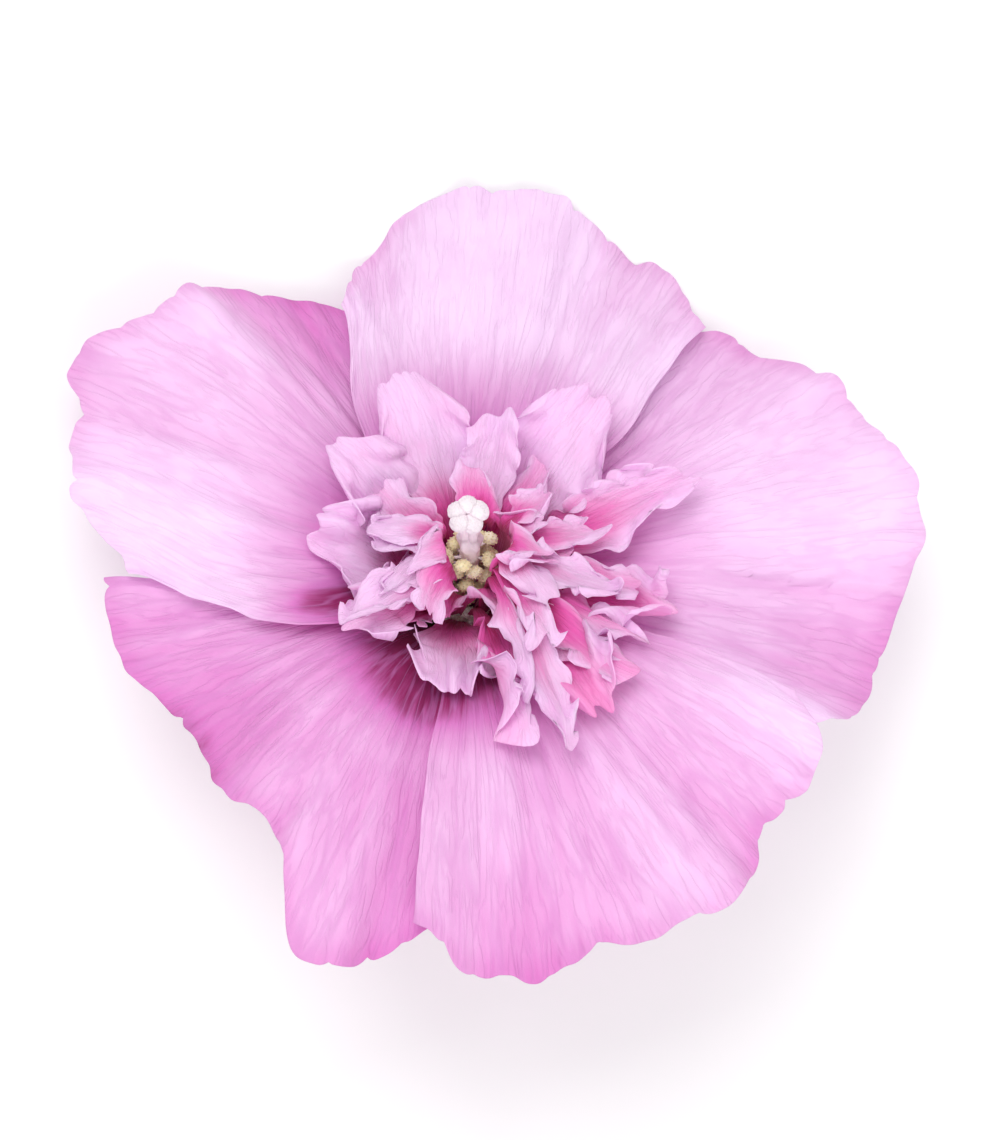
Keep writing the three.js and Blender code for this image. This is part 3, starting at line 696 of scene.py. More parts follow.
@dataclass(frozen=True)
class PetalFinish:
    """Thin, soft, faintly translucent petal tissue, deeper towards its root.

    The attribute "tone" runs from 0 at the root of the colour to 1 where the petal is palest; the petals
    and petaloids paint shade into it as well.

    Attributes:
        name: The material's name.
        root: Colour at tone 0.
        deep: Colour at tone one third.
        pale: Colour at tone 1.
        vein: Colour of the veins and blotches.
        lines: How many sets of veins run across the blade.
        vein_share: How much of the vein colour shows.
        glow: Share of light that passes through.
        roughness: Roughness of its surface.
        bump: Strength of its bumps.
    """

    name: str
    root: Colour
    deep: Colour
    pale: Colour
    vein: Colour
    lines: float
    vein_share: float
    glow: float
    roughness: float
    bump: float = 0.5

    def material(self, groups: TissueGroups) -> bpy.types.Material:
        """Builds the material.

        Args:
            groups: The shared node groups.

        Returns:
            The material.
        """
        made, bench = new_material(self.name)
        veins = groups.vein_node(bench, self.lines)
        grain = groups.grain_node(bench, 2600.0, 190.0)
        tone = bench.node("ShaderNodeAttribute", attribute_name="tone")["Fac"]
        # the streaks shift the tone, less where it is pale
        uneven = bench.times(bench.minus(veins["Streaks"], 0.5), 0.4)
        shifted = bench.plus(tone, bench.times(uneven, bench.minus(1.0, bench.times(tone, 0.75))))
        low = bench.blend(bench.ramp(shifted, 0.0, 0.33), self.root, self.deep)
        body = bench.blend(bench.ramp(shifted, 0.2, 0.95), low, self.pale)
        strength = bench.times(bench.times(veins["Veins"], self.vein_share), bench.minus(1.15, tone))
        colour = bench.blend(strength, body, self.vein)
        blotch = bench.times(bench.ramp(grain["Mottle"], 0.3, 0.75), 0.12)
        colour = bench.blend(blotch, colour, self.vein)
        height = bench.plus(bench.times(grain["Grain"], 0.5), bench.times(veins["Veins"], -0.6))
        height = bench.plus(height, bench.times(veins["Streaks"], 1.2))
        solid, normal = bench.matt(colour, height, self.bump, 0.0003, self.roughness, 0.15)
        lit = bench.node("ShaderNodeBsdfTranslucent", {"Color": colour, "Normal": normal})[0]
        mixed = bench.node("ShaderNodeMixShader", {0: self.glow, 1: solid, 2: lit})[0]
        bench.node("ShaderNodeOutputMaterial", {"Surface": mixed})
        return made


@dataclass(frozen=True)
class TissueFinish:
    """Matt opaque tissue of two colours, such as the column, the sepals and the stem.

    The attribute "tone" runs from 0, the first colour, to 1, the second.

    Attributes:
        name: The material's name.
        first: Colour at tone 0.
        second: Colour at tone 1.
        fleck: Colour of its flecks.
        fleck_share: How much of them shows.
        cell: Scale of its small cells.
        swell: Scale of its soft unevenness.
        roughness: Roughness of its surface.
        bump: Strength of its bumps.
        depth: Height of its bumps, in metres.
        streaks: How many streaks run across the blade, or 0 for none.
        soft: Share of light that spreads under its surface.
    """

    name: str
    first: Colour
    second: Colour
    fleck: Colour
    fleck_share: float
    cell: float
    swell: float
    roughness: float
    bump: float
    depth: float = 0.0003
    streaks: float = 0.0
    soft: float = 0.0

    def material(self, groups: TissueGroups) -> bpy.types.Material:
        """Builds the material.

        Args:
            groups: The shared node groups.

        Returns:
            The material.
        """
        made, bench = new_material(self.name)
        grain = groups.grain_node(bench, self.cell, self.swell)
        tone = bench.node("ShaderNodeAttribute", attribute_name="tone")["Fac"]
        shifted = bench.plus(tone, bench.times(bench.minus(grain["Mottle"], 0.5), 0.3))
        colour = bench.blend(bench.ramp(shifted, 0.05, 0.95), self.first, self.second)
        flecks = bench.times(bench.ramp(grain["Mottle"], 0.5, 0.72), self.fleck_share)
        colour = bench.blend(flecks, colour, self.fleck)
        height = grain["Grain"]
        if self.streaks:
            veins = groups.vein_node(bench, self.streaks)
            colour = bench.blend(bench.times(veins["Veins"], 0.35), colour, self.fleck)
            height = bench.plus(height, bench.times(veins["Streaks"], 1.5))
        solid, _ = bench.matt(colour, height, self.bump, self.depth, self.roughness, 0.2, self.soft)
        bench.node("ShaderNodeOutputMaterial", {"Surface": solid})
        return made


# The corolla --------------------------------------------------------------------------------------


@dataclass(frozen=True)
class Fold:
    """A lengthwise fold that all the petals share.

    Attributes:
        at: Its place round the bloom, in degrees.
        width: Its half width, in degrees.
        lift: How far it lifts the rim, in mm.
        start: The radius where it starts, in mm.
    """

    at: float
    width: float
    lift: float
    start: float


@dataclass(frozen=True)
class Funnel:
    """The form that all the petals follow, in the bloom's frame and in mm.

    Attributes:
        claw: Radius where the petals start.
        rim: Radius of the rim.
        height: How far the funnel rises.
        flare: Distance over which its rise dies away.
        reflex: How far the rim bends back down.
        layer_lift: How far a margin over or under another stands off, outside.
        claw_lift: The same near the claws.
        folds: The shared folds.
        waves: Count round the bloom, height and phase in degrees of the even waves of the rim.
    """

    claw: float = 3.4
    rim: float = 56.0
    height: float = 21.0
    flare: float = 9.0
    reflex: float = 3.0
    layer_lift: float = 1.5
    claw_lift: float = 0.55
    folds: tuple[Fold, ...] = (
        Fold(85, 13, 3, 14), Fold(61, 11, -6.8, 26), Fold(106, 9, -8, 26), Fold(124, 8, -3.5, 12),
        Fold(141, 10, 2.5, 14), Fold(163, 6, -3, 30), Fold(176, 8, 2.5, 18), Fold(211, 15, -8, 20),
        Fold(246, 9, 2.5, 20), Fold(275, 9, -4, 34), Fold(292, 6, -2, 16), Fold(303, 7, 2, 16),
        Fold(314, 5, -2, 24), Fold(331, 9, 4, 16), Fold(351, 11, -6.5, 22), Fold(14, 12, 2.5, 18),
        Fold(42, 9, -3.5, 14),
    )
    waves: tuple[tuple[int, float, float], ...] = ((11, 0.8, 60.0), (17, 0.6, 200.0))

    def level(self, radius: Array) -> Array:
        """Height of the plain funnel: a steep rise that dies away outwards, less the rim's reflex."""
        out = np.maximum(0.0, radius - self.claw)
        share = out / (self.rim - self.claw)
        return self.height * (1 - np.exp(-out / self.flare)) - self.reflex * share**3

    def steepness(self, radius: Array) -> Array:
        """Height of a layer of the wall over its thickness: the root of one plus the slope squared."""
        r = np.maximum(radius, self.claw + 0.1)
        return np.hypot(1.0, (self.level(r + 0.1) - self.level(r - 0.1)) / 0.2)

    def stand_off(self, radius: Array) -> Array:
        """How far a margin that lies over or under another stands off, square to the funnel."""
        return self.claw_lift + (self.layer_lift - self.claw_lift) * smooth((radius - 8) / 18)

    def relief(self, degrees: Array, radius: Array) -> Array:
        """Lift of the folds, bells round the bloom that grow outwards, and of even rim waves.

        Args:
            degrees: Azimuth of each place.
            radius: Radius of each place.

        Returns:
            The lift at each place, in mm.
        """
        lift = np.zeros(np.broadcast(degrees, radius).shape)
        for fold in self.folds:
            rise = smooth((radius - fold.start) / (self.rim - fold.start))
            lift = lift + fold.lift * bell(wrapped(degrees - fold.at) / fold.width) * rise
        edge = smooth((radius - 24) / (self.rim - 24))
        for count, height, phase in self.waves:
            lift = lift + height * edge * np.sin(np.radians(count * degrees + phase))
        return lift

    def pleats(self, degrees: Array, radius: Array) -> Array:
        """Lift of the soft pleats that fan outwards: noise that is drawn out along the radius.

        They are shared, as the folds are, so that petals nest where they lie over each other.

        Args:
            degrees: Azimuth of each place.
            radius: Radius of each place.

        Returns:
            The lift at each place, in mm.
        """
        turn = np.asarray(degrees) % 360.0
        broad = 0.75 * smooth((radius - 16) / 20) * noise(turn / 6.0, radius / 22, 5)
        return broad + 0.3 * smooth((radius - 10) / 14) * noise(turn / 2.7, radius / 15, 6)


@dataclass(frozen=True)
class Margin:
    """One side of a petal: its spread in degrees where it is broad and at its rim, and its layer."""

    broad: float
    rim: float
    layer: Over


@dataclass(frozen=True)
class Petal:
    """One open petal.

    Attributes:
        node: The CAD node that it stands for.
        at: The place of its middle round the bloom, in degrees.
        clockwise: Its clockwise margin.
        counter: Its counter-clockwise margin.
        reach: Radius of its rim at nine even stations, from clockwise to counter-clockwise, in mm.
        seed: Number that sets its own small waves apart.
        frill: Height of its own small rim waves, in mm.
        flush_and_shade: How much deeper its pink is than the plain one, or below 0 how much paler; part of
            it is painted shade on a petal that faces away from the light.
        tilt: How much paler it grows from its clockwise side to its middle, and on to the other side,
            partly painted light and shade across the petal.
        laid: Whether it meets the table, and is bent to lie on it.
        claw_spread: How far it spreads to each side at its claw, in degrees.
        broad_at: Place along it, from 0 to 1, where it is broad.
    """

    node: str
    at: float
    clockwise: Margin
    counter: Margin
    reach: tuple[float, ...]
    seed: int
    frill: float
    flush_and_shade: float
    tilt: float = 0.0
    laid: bool = False
    claw_spread: float = 36.0
    broad_at: float = 0.42

    def middle(self, funnel: Funnel, u: Array, v: Array) -> Array:
        """Points of the middle surface.

        The azimuth is the petal's own plus u times a spread that grows with v. The radius runs from
        claw to rim. The height is the funnel's, plus the shared folds, the layer's stand-off towards
        the margins, fine pleats that fan out from the claw, and small waves that grow at the rim.

        Args:
            funnel: The shared form.
            u: Place across, from -1 to 1.
            v: Place along, from 0 at the claw to 1 at the rim.

        Returns:
            Points in the bloom's frame, in mm.
        """
        margins = [(m.broad, m.rim, m.layer.value) for m in (self.clockwise, self.counter)]
        broad, rim, layer = (np.where(u < 0, *pair) for pair in zip(*margins))
        spread = self.claw_spread + (broad - self.claw_spread) * smooth(v / self.broad_at)
        spread = spread + (rim - broad) * smooth((v - self.broad_at) / (1 - self.broad_at))
        wander = 1.1 * np.abs(u) ** 3 * smooth(v / 0.3) * noise(v * 7, np.sign(u), self.seed)
        degrees = self.at + u * spread + wander
        # small bites out of the rim
        bite = 0.7 * noise(u * 6, 0.0, self.seed + 1) - 0.5
        bite = bite + 1.3 * np.abs(noise(u * 11, 0.0, self.seed + 2)) ** 0.8
        reach = spline(np.pad(self.reach, 1, mode="edge"), (u + 1) / 2)
        reach = reach + bite * smooth((v - 0.55) / 0.45) ** 2
        radius = funnel.claw + (reach - funnel.claw) * v**1.15
        lift = layer * funnel.stand_off(radius) * funnel.steepness(radius)
        lift = lift * smooth((np.abs(u) - 0.1) / 0.6)
        own = 0.16 * smooth((radius - 14) / 18) * noise(degrees / 1.9, v * 3.5, self.seed + 4)
        # frills along the rim, and finer ones along the sides
        edge = smooth((v - 0.7) / 0.3) ** 1.5
        side = smooth((np.abs(u) - 0.8) / 0.2) * smooth((v - 0.35) / 0.3) * (1 - edge)
        frill = 1.5 * edge * noise(u * 8.5, v * 1.5, self.seed + 5)
        frill = frill + 0.4 * edge * noise(u * 21, v * 3, self.seed + 6)
        frill = frill + 0.45 * side * noise(v * 9, np.sign(u), self.seed + 7)
        height = funnel.level(radius) + funnel.relief(degrees, radius) + lift
        height = height + funnel.pleats(degrees, radius) + own + self.frill * frill
        return polar(degrees, radius, height)

    def tone(self, funnel: Funnel, u: Array, v: Array, middle: Array) -> Array:
        """How pale the petal is at each point of its middle surface, from 0 to 1.

        It grows paler outwards from the dark throat. The throat's colour reaches further out in a broad
        flare and a narrow ray, which are painted shade under the heart's low frills and in a pocket
        beside it. Its ridges are painted lighter and its valleys darker, as painted light and shade of
        the folds. Its own deeper pink deepens it outside, partly as painted shade on petals that face
        away from the light, and its very rim is a little deeper, painted shade where it curls away.

        Args:
            funnel: The shared form.
            u: Place across, from -1 to 1.
            v: Place along, from 0 at the claw to 1 at the rim.
            middle: Points of the middle surface.

        Returns:
            The tone at each point.
        """
        degrees, radius = round_axis(middle)
        # painted shade: the throat's colour runs further out in a broad flare and a narrow ray, under the
        # heart's low frills and in a pocket beside it
        flare, ray = bell(wrapped(degrees - 252) / 34), bell(wrapped(degrees - 200) / 7)
        beyond = radius - (10 * flare + 9 * ray) * smooth((31 - radius) / 9)
        pale = 0.42 * smooth((beyond - 8) / 13) + 0.45 * smooth((beyond - 15) / 24)
        # painted light and shade of the folds: ridges lighter, valleys darker
        ridge = funnel.relief(degrees, radius) + 1.5 * funnel.pleats(degrees, radius)
        pale = pale + 0.24 * smooth((radius - 18) / 20) * np.clip(ridge / 5, -1, 1)
        # the petal's own deeper pink, partly painted shade on petals that face away from the light
        pale = pale - smooth((radius - 23) / 14) * (self.flush_and_shade - self.tilt * u)
        # painted shade along the rim, where it curls away
        return np.clip(pale - 0.1 * smooth((v - 0.93) / 0.07), 0, 1)


def laid_on_table(points: Array, half: Array) -> Array:
    """World points in mm, kept above the table with a soft bend, so a drooping corner lies on it.

    Args:
        points: Points of a blade's middle surface.
        half: Half of its thickness.

    Returns:
        The points, with their heights bent where they came too near the table.
    """
    soft, clear = 0.12, half + 0.02
    z = points[..., 2] - clear
    lifted = np.where(z > 20 * soft, z, soft * np.log1p(np.exp(np.minimum(z / soft, 30.0))))
    return np.concatenate([points[..., :2], (lifted + clear)[..., None]], axis=-1)


@dataclass
class Corolla:
    """The five open petals, each a blade of a grid of points and half a thickness in mm."""

    funnel: Funnel = field(default_factory=Funnel)
    across: int = 190
    along: int = 130
    half: float = 0.14
    finish: PetalFinish = PetalFinish(
        name="petal_tissue",
        root=srgb(160, 24, 100),
        deep=srgb(230, 132, 210),
        pale=srgb(254, 228, 255),
        vein=srgb(216, 140, 207),
        lines=11.0,
        vein_share=0.42,
        glow=0.3,
        roughness=0.62,
    )
    petals: tuple[Petal, ...] = (
        Petal("petal_top", 83, Margin(41, 33, Over.OVER), Margin(49, 33, Over.OVER),
              (49, 51.3, 52.2, 52.6, 54, 53.5, 51.5, 47, 40), 11, 1.0, -0.1, laid=True),
        Petal("petal_left", 152, Margin(42, 44, Over.UNDER), Margin(58, 34, Over.OVER),
              (38, 44.5, 51, 54, 59, 54, 53.2, 50.8, 45), 23, 1.2, 0.15, 0.28),
        Petal("petal_lower_left", 228, Margin(38, 42, Over.UNDER), Margin(40, 42, Over.UNDER),
              (47.5, 48, 43.5, 43.5, 46, 48, 59.5, 54, 46), 37, 1.3, 0.34, -0.1),
        Petal("petal_lower_right", 299, Margin(40, 38, Over.OVER), Margin(37, 38, Over.OVER),
              (51, 57.5, 56.5, 54.8, 57.5, 56.5, 52.5, 53, 46), 41, 1.2, 0.22),
        Petal("petal_right", 14, Margin(50, 43, Over.UNDER), Margin(38, 46, Over.UNDER),
              (48.5, 54, 55, 58.8, 60.5, 58.2, 54, 50, 44), 59, 1.1, 0.08),
    )

    def build(self, groups: TissueGroups) -> None:
        """Builds the petals, thicker at their claws and thinner at their margins.

        Args:
            groups: The shared node groups.
        """
        finish = self.finish.material(groups)
        u, v = grid(self.across, self.along)
        margin = np.maximum(smooth((np.abs(u) - 0.8) / 0.2), smooth((v - 0.85) / 0.15))
        half = self.half * (1.5 - smooth(v / 0.3) * 0.5) * (1 - 0.5 * margin)
        for petal in self.petals:
            middle = petal.middle(self.funnel, u, v)
            tone = petal.tone(self.funnel, u, v, middle)
            if petal.laid:
                middle = laid_on_table(bloom_to_world(middle) / MM, half)
            skin = Skin(f"{petal.node}_blade", in_bloom=not petal.laid)
            skin.add_blade(middle, half, tone)
            skin.make(finish, Slot.PETAL, petal.node)


# The heart ----------------------------------------------------------------------------------------


def bezier(ends: list[Array], t: Array) -> Array:
    """Point on a Bezier curve, by repeated blending of neighbouring control points.

    Args:
        ends: The control points.
        t: Place on the curve, from 0 to 1.

    Returns:
        The point at each t.
    """
    while len(ends) > 1:
        ends = [a * (1 - t) + b * t for a, b in zip(ends, ends[1:])]
    return ends[0]


@dataclass(frozen=True)
class Petaloid:
    """One petal-like stamen, on the tube that it grows from.

    Attributes:
        at: Azimuth, in degrees.
        reach: Radius of its tip, in mm.
        tip: Height of its tip, in mm.
        width: Width, in mm.
        root: Height of its root on the tube, in mm.
        roll: Turn about its own length at the tip, in degrees.
        sweep: Sideways bend at the tip, in degrees.
        cup: Cross curve as a share of its half width.
        ruffle: Height of its waves, in mm.
        paler: How much paler it is than the others, or below 0 how much deeper; the low strips at the
            tube's foot are set deep as painted shade.
        upright: From 0, arching low, to 1, steep.
        lift: From 0, a tip that lies flat, to 1, a tip that still rises.
        phase: Where the waves start, in degrees.
        seed: Number that sets its own crumples apart.
    """

    at: float
    reach: float
    tip: float
    width: float
    root: float
    roll: float
    sweep: float
    cup: float
    ruffle: float
    paler: float = 0.0
    upright: float = 0.0
    lift: float = 0.0
    phase: float = 0.0
    seed: int = 0


@dataclass
class Drape:
    """What the next blade of the heart lies on: heights on an even grid of azimuth and radius.

    It starts as the petals' layer. Each blade that is laid raises it, so that the next one lies over it
    and they never cross.

    Attributes:
        funnel: The form of the petals.
        sectors: Places of the grid round the bloom.
        rings: Places of the grid along the radius.
        step: Distance between its rings, in mm.
        clearance: Its first height over the petals, in mm.
        growth: How far one blade may raise it, in mm.
        height: The heights, [sector, ring], in mm.
    """

    funnel: Funnel
    sectors: int = 240
    rings: int = 80
    step: float = 0.5
    clearance: float = 1.0
    growth: float = 1.1
    height: Array = field(init=False)

    def __post_init__(self) -> None:
        """Starts it a clearance over the petals, square to them."""
        f = self.funnel
        radius = np.arange(self.rings) * self.step
        lift = (f.claw_lift + self.clearance) * f.steepness(radius)
        self.height = f.level(radius) + f.relief(turns(self.sectors)[:, None], radius) + lift

    def place(self, points: Array) -> tuple[Array, Array]:
        """Sector and ring of points, each with the share of the way to the next as its fraction."""
        degrees, radius = round_axis(points)
        return degrees % 360 * self.sectors / 360, np.clip(radius / self.step, 0, self.rings - 1.001)

    def spread(self, values: Array, reach: int) -> Array:
        """Shifts the grid's values by up to some cells each way.

        Args:
            values: Values on the grid.
            reach: How many cells.

        Returns:
            The shifted grids, stacked.
        """
        steps = range(-reach, reach + 1)
        padded = np.pad(values, ((0, 0), (reach, reach)), mode="edge")
        cut = [padded[:, reach + k:reach + k + self.rings] for k in steps]
        return np.stack([np.roll(part, k, axis=0) for part in cut for k in steps])

    def under(self, points: Array) -> Array:
        """Height of the drape, blended between the grid's places.

        Args:
            points: Points over it.

        Returns:
            The height under each point, in mm.
        """
        turn, ring = self.place(points)
        i, j = turn.astype(int), ring.astype(int)
        a, b = turn - i, ring - j
        i, on = i % self.sectors, (i + 1) % self.sectors
        low = self.height[i, j] * (1 - a) + self.height[on, j] * a
        high = self.height[i, j + 1] * (1 - a) + self.height[on, j + 1] * a
        return low * (1 - b) + high * b

    def lay(self, points: Array) -> None:
        """Takes a blade in: the grid rises to it, by a growth at most, and is smoothed.

        Args:
            points: Points of the blade's middle surface.
        """
        turn, ring = self.place(points)
        top = self.height.copy()
        np.maximum.at(top, (turn.astype(int) % self.sectors, ring.astype(int)), points[..., 2])
        top = np.minimum(top, self.height + self.growth)
        self.height = np.maximum(self.height, self.spread(self.spread(top, 1).max(axis=0), 2).mean(axis=0))


@dataclass
class Heart:
    """The staminal tube with its petaloids, which are one grown piece. Lengths are in mm.

    Attributes:
        funnel: The form of the petals that the blades lie over.
        tube_radius: Outer radius of the tube.
        tube_bore: Radius of its bore.
        tube_height: Height of its end.
        tube_foot: Height of its foot.
        sunk: How deep the blades' roots stand in it.
        anther_room: Radius that the blades leave free round the anthers.
        half: Half of the blades' thickness.
        lobe_depth: Depth of the lobes that their rims are eroded into.
        calm: How much flatter and less eroded the blades are on the calm side.
        calm_at: Azimuth of that side, in degrees.
        finish: The blades' finish.
        inner: The larger blades.
        strips: The narrow ones between them.
        tuft_count: How many blades the tuft has.
        crowded_at: Azimuth where the tuft crowds, in degrees.
        open_at: Azimuth where it parts, in degrees.
    """

    funnel: Funnel = field(default_factory=Funnel)
    tube_radius: float = 2.7
    tube_bore: float = 1.62
    tube_height: float = 11.0
    tube_foot: float = -1.5
    sunk: float = 0.9
    anther_room: float = 4.6
    half: float = 0.11
    lobe_depth: float = 2.2
    calm: float = 0.62
    calm_at: float = 105.0
    finish: PetalFinish = PetalFinish(
        name="petaloid_tissue",
        root=srgb(206, 44, 120),
        deep=srgb(252, 110, 202),
        pale=srgb(255, 225, 255),
        vein=srgb(242, 112, 200),
        lines=4.0,
        vein_share=0.35,
        glow=0.38,
        roughness=0.6,
    )
    inner: tuple[Petaloid, ...] = (
        Petaloid(112, 23.5, 25.5, 13, 6, 6, 3, 0.12, 0.9, 0.7),
        Petaloid(145, 22, 24, 12, 5, -4, -2, 0.15, 0.9, 0.6),
        Petaloid(181, 20.5, 22.5, 13, 4.5, -8, -3, 0.15, 1.0, 0.45),
        Petaloid(80, 19, 26, 7.5, 7, -8, 2, 0.2, 0.6, 0.7),
        Petaloid(53, 25, 24.5, 15, 5, 6, 2, 0.1, 0.9, 0.7),
        Petaloid(19, 29, 25.5, 9, 5.5, 20, 3, 0.3, 0.8, 0.2),
        Petaloid(341, 28, 23, 10, 4.5, -16, 2, 0.25, 1.2, 0.1),
        Petaloid(309, 27, 22.5, 14, 4.5, 14, -3, 0.3, 1.2),
        Petaloid(283, 27, 24, 6, 5.5, -35, -4, 0.5, 1.5, 0.2),
        Petaloid(261, 20, 20.5, 12, 4.5, 8, 2, 0.1, 1.1, 0.15),
        Petaloid(213, 19.5, 21, 8, 6, -20, 3, 0.3, 1.1),
        Petaloid(221, 12.5, 17, 7, 5, 4, 0, 0.3, 0.8, -0.3),
    )
    strips: tuple[Petaloid, ...] = (
        Petaloid(352, 22, 24.5, 5, 7.5, 35, -4, 0.4, 0.9),
        Petaloid(325, 25, 23, 5, 7.5, -45, 5, 0.5, 1.0, 0.2),
        Petaloid(315, 27, 23.5, 5.5, 7.5, 40, 4, 0.5, 1.0),
        Petaloid(297, 30, 23, 5, 7.5, -35, -3, 0.5, 1.1, 0.2),
        Petaloid(298, 23, 22.5, 4.5, 7.5, 60, -12, 0.5, 1.0, 0.4),
        Petaloid(222, 20.5, 22.5, 5.5, 7.5, 50, -6, 0.5, 1.0, 0.4),
        Petaloid(338, 18.5, 24, 5.5, 8, -12, 4, 0.3, 0.9, 0.5),
        Petaloid(8, 16, 24.5, 5, 8, 15, 4, 0.3, 0.8, 0.2),
        Petaloid(306, 17, 22.5, 5, 8, -40, -8, 0.5, 0.9),
        Petaloid(205, 15, 24, 5, 8, -30, 6, 0.5, 0.9, 0.4),
        Petaloid(322, 13, 23.5, 4.5, 8.5, 25, -6, 0.4, 0.8, 0.4),
        Petaloid(190, 13, 24.5, 4.5, 9, 50, -10, 0.6, 0.7, 0.2),
        Petaloid(168, 13.5, 25, 5, 9, 10, 6, 0.5, 0.8, 0.2),
        Petaloid(30, 12, 25.5, 4.5, 9.5, -30, 8, 0.5, 0.8),
        # low strips at the tube's foot, set deep as painted shade in the hollow there
        Petaloid(193, 9, 18.5, 5.5, 6.0, 20, 6, 0.4, 0.8, -0.25),
        Petaloid(217, 8.6, 18, 5.5, 6.2, -15, -5, 0.4, 0.8, -0.3),
        Petaloid(243, 8.4, 16.5, 5, 6.4, 25, 8, 0.4, 0.8, -0.25),
    )
    tuft_count: int = 13
    crowded_at: float = 295.0
    open_at: float = 267.0

    def tuft(self) -> list[Petaloid]:
        """The small petaloids: each next one stands a golden turn on and higher up the tube.

        They crowd on one side, and they part in front of the column.

        Returns:
            The petaloids, from the lowest.
        """
        made = []
        for i in range(self.tuft_count):
            share = i / (self.tuft_count - 1)
            turn = 2 * ((0.618 * i) % 1) - 1
            even = self.crowded_at + 180 * np.sign(turn) * abs(turn) ** 1.4
            off = wrapped(even - self.open_at)
            made.append(
                Petaloid(
                    at=even + 52 * np.sign(off) * bell(off / 45) * share,
                    reach=(22 - 13.5 * np.sqrt(share)) * (0.9 + 0.2 * draw(i, 1)),
                    tip=20 + 4 * share + draw(i, 2),
                    width=4.5 + 2.5 * draw(i, 3),
                    root=5.8 + 4 * share,
                    roll=44 * (draw(i, 4) - 0.5),
                    sweep=30 * (draw(i, 5) - 0.5),
                    cup=1.3 * (draw(i, 6) - 0.3),
                    ruffle=0.8,
                    upright=1.0,
                    lift=0.35 + 0.6 * draw(i, 8),
                    phase=360 * draw(i, 7),
                    seed=200 + i,
                )
            )
        return made

    def blades(self) -> list[Petaloid]:
        """Gives each petaloid waves and a seed of its own.

        Returns:
            All the petaloids, those that root lowest first.
        """
        inner = [replace(b, phase=360 * draw(i, 9), seed=101 + i) for i, b in enumerate(self.inner)]
        strips = [
            replace(b, phase=40.0 * i, seed=301 + i, upright=1.0, lift=0.8)
            for i, b in enumerate(self.strips)
        ]
        return sorted([*inner, *self.tuft(), *strips], key=lambda blade: blade.root)

    def bent_clear(self, points: Array, drape: Drape, gap: float) -> Array:
        """Lifts points clear of what lies below, and keeps them clear of the anthers.

        Args:
            points: Points of a blade.
            drape: What the blade lies on.
            gap: Least height over it, in mm.

        Returns:
            The points, bent smoothly where they came too near.
        """
        radius = round_axis(points)[1]
        above = points[..., 2] - (drape.under(points) + gap)
        soft = 0.4 * np.log1p(np.exp(np.minimum(above / 0.4, 30.0)))
        out = smooth((radius - self.funnel.claw) / 1.5)
        height = points[..., 2] + np.where(above < 1, soft - above, 0.0) * out
        nearest = self.anther_room * smooth((height - self.tube_height + 3) / 3)
        push = np.where(radius < nearest, nearest / np.maximum(radius, 1e-6), 1.0)
        return np.stack([points[..., 0] * push, points[..., 1] * push, height], axis=-1)

    @staticmethod
    def lobes(x: Number, y: Number, seed: int) -> Array:
        """Small rounded lobes with sharp notches between: a noise's size, less its middle."""
        return np.abs(noise(x, y, seed)) ** 0.75 - 0.4

    def spine(self, blade: Petaloid, t: Array) -> tuple[Array, Array]:
        """A petaloid's own line from the tube to its tip: a cubic Bezier curve of radius and height.

        Args:
            blade: The petaloid.
            t: Place on the curve.

        Returns:
            Radius and height at each place, and the curve's direction there.
        """
        out, rise = blade.reach - self.tube_radius + self.sunk, blade.tip - blade.root
        start, up = np.array([self.tube_radius - self.sunk, blade.root]), blade.upright
        low = start + [(0.3 - 0.2 * up) * out, 0.5 * rise]
        high = np.array([start[0] + (0.62 - 0.17 * up) * out, blade.tip - (0.05 - 0.12 * up) * rise])
        high = high + blade.lift * np.array([0.35 * out, -0.55 * rise])
        ends = [start, low, high, np.array([blade.reach, blade.tip])]
        steps = [b - a for a, b in zip(ends, ends[1:])]
        return bezier(ends, t[..., None]), unit(bezier(steps, t[..., None]))

    def middle(self, blade: Petaloid, drape: Drape, s: Array, share: Array) -> Array:
        """Points of a petaloid's middle surface.

        A curve carries the blade from the tube out to its tip. Across it, the blade spreads at
        right angles, rolled about the curve, with a cross curve that grows as s squared and waves
        that grow as t squared. Crumples of its own grow towards its edge, and its tip is eroded.

        Args:
            blade: The petaloid.
            drape: What it lies on.
            s: Place across, from -1 to 1.
            share: Place along, from 0 at the root to 1 at the tip.

        Returns:
            Points in the bloom's frame, in mm.
        """
        length = np.hypot(blade.reach - self.tube_radius + self.sunk, blade.tip - blade.root)
        wild = 1 - self.calm * bell(wrapped(blade.at - self.calm_at) / 75)
        depth = self.lobe_depth * wild
        small = min(1.0, blade.width / 9 + 0.25)
        side = np.sign(s) * 7.3
        # the tip, blunt and eroded
        blunt = min(0.4, 0.45 * blade.width / length) * (0.4 * s * s + 0.6 * s**4)
        bite = self.lobes(s * blade.width / 3.4, 0.0, blade.seed + 1) * 1.4 * depth / length
        tip = 0.08 * noise(s * 1.5, 0.0, blade.seed) - blunt + bite
        t = share * (1 + tip * smooth((share - 0.3) / 0.7))
        # the curve, and the directions across the blade and square to it
        place, along = self.spine(blade, t)
        outward = polar(blade.at + blade.sweep * t * t, 1.0, 0.0)
        tangent = outward * along[..., :1] + UP * along[..., 1:]
        across = np.cross(UP, outward)
        twist = 22 * noise(share * 2.2, 0.0, blade.seed + 2) * smooth(share / 0.4)
        roll = np.radians(blade.roll * t + twist)[..., None]
        across = across * np.cos(roll) + np.cross(tangent, across) * np.sin(roll)
        normal = np.cross(tangent, across)
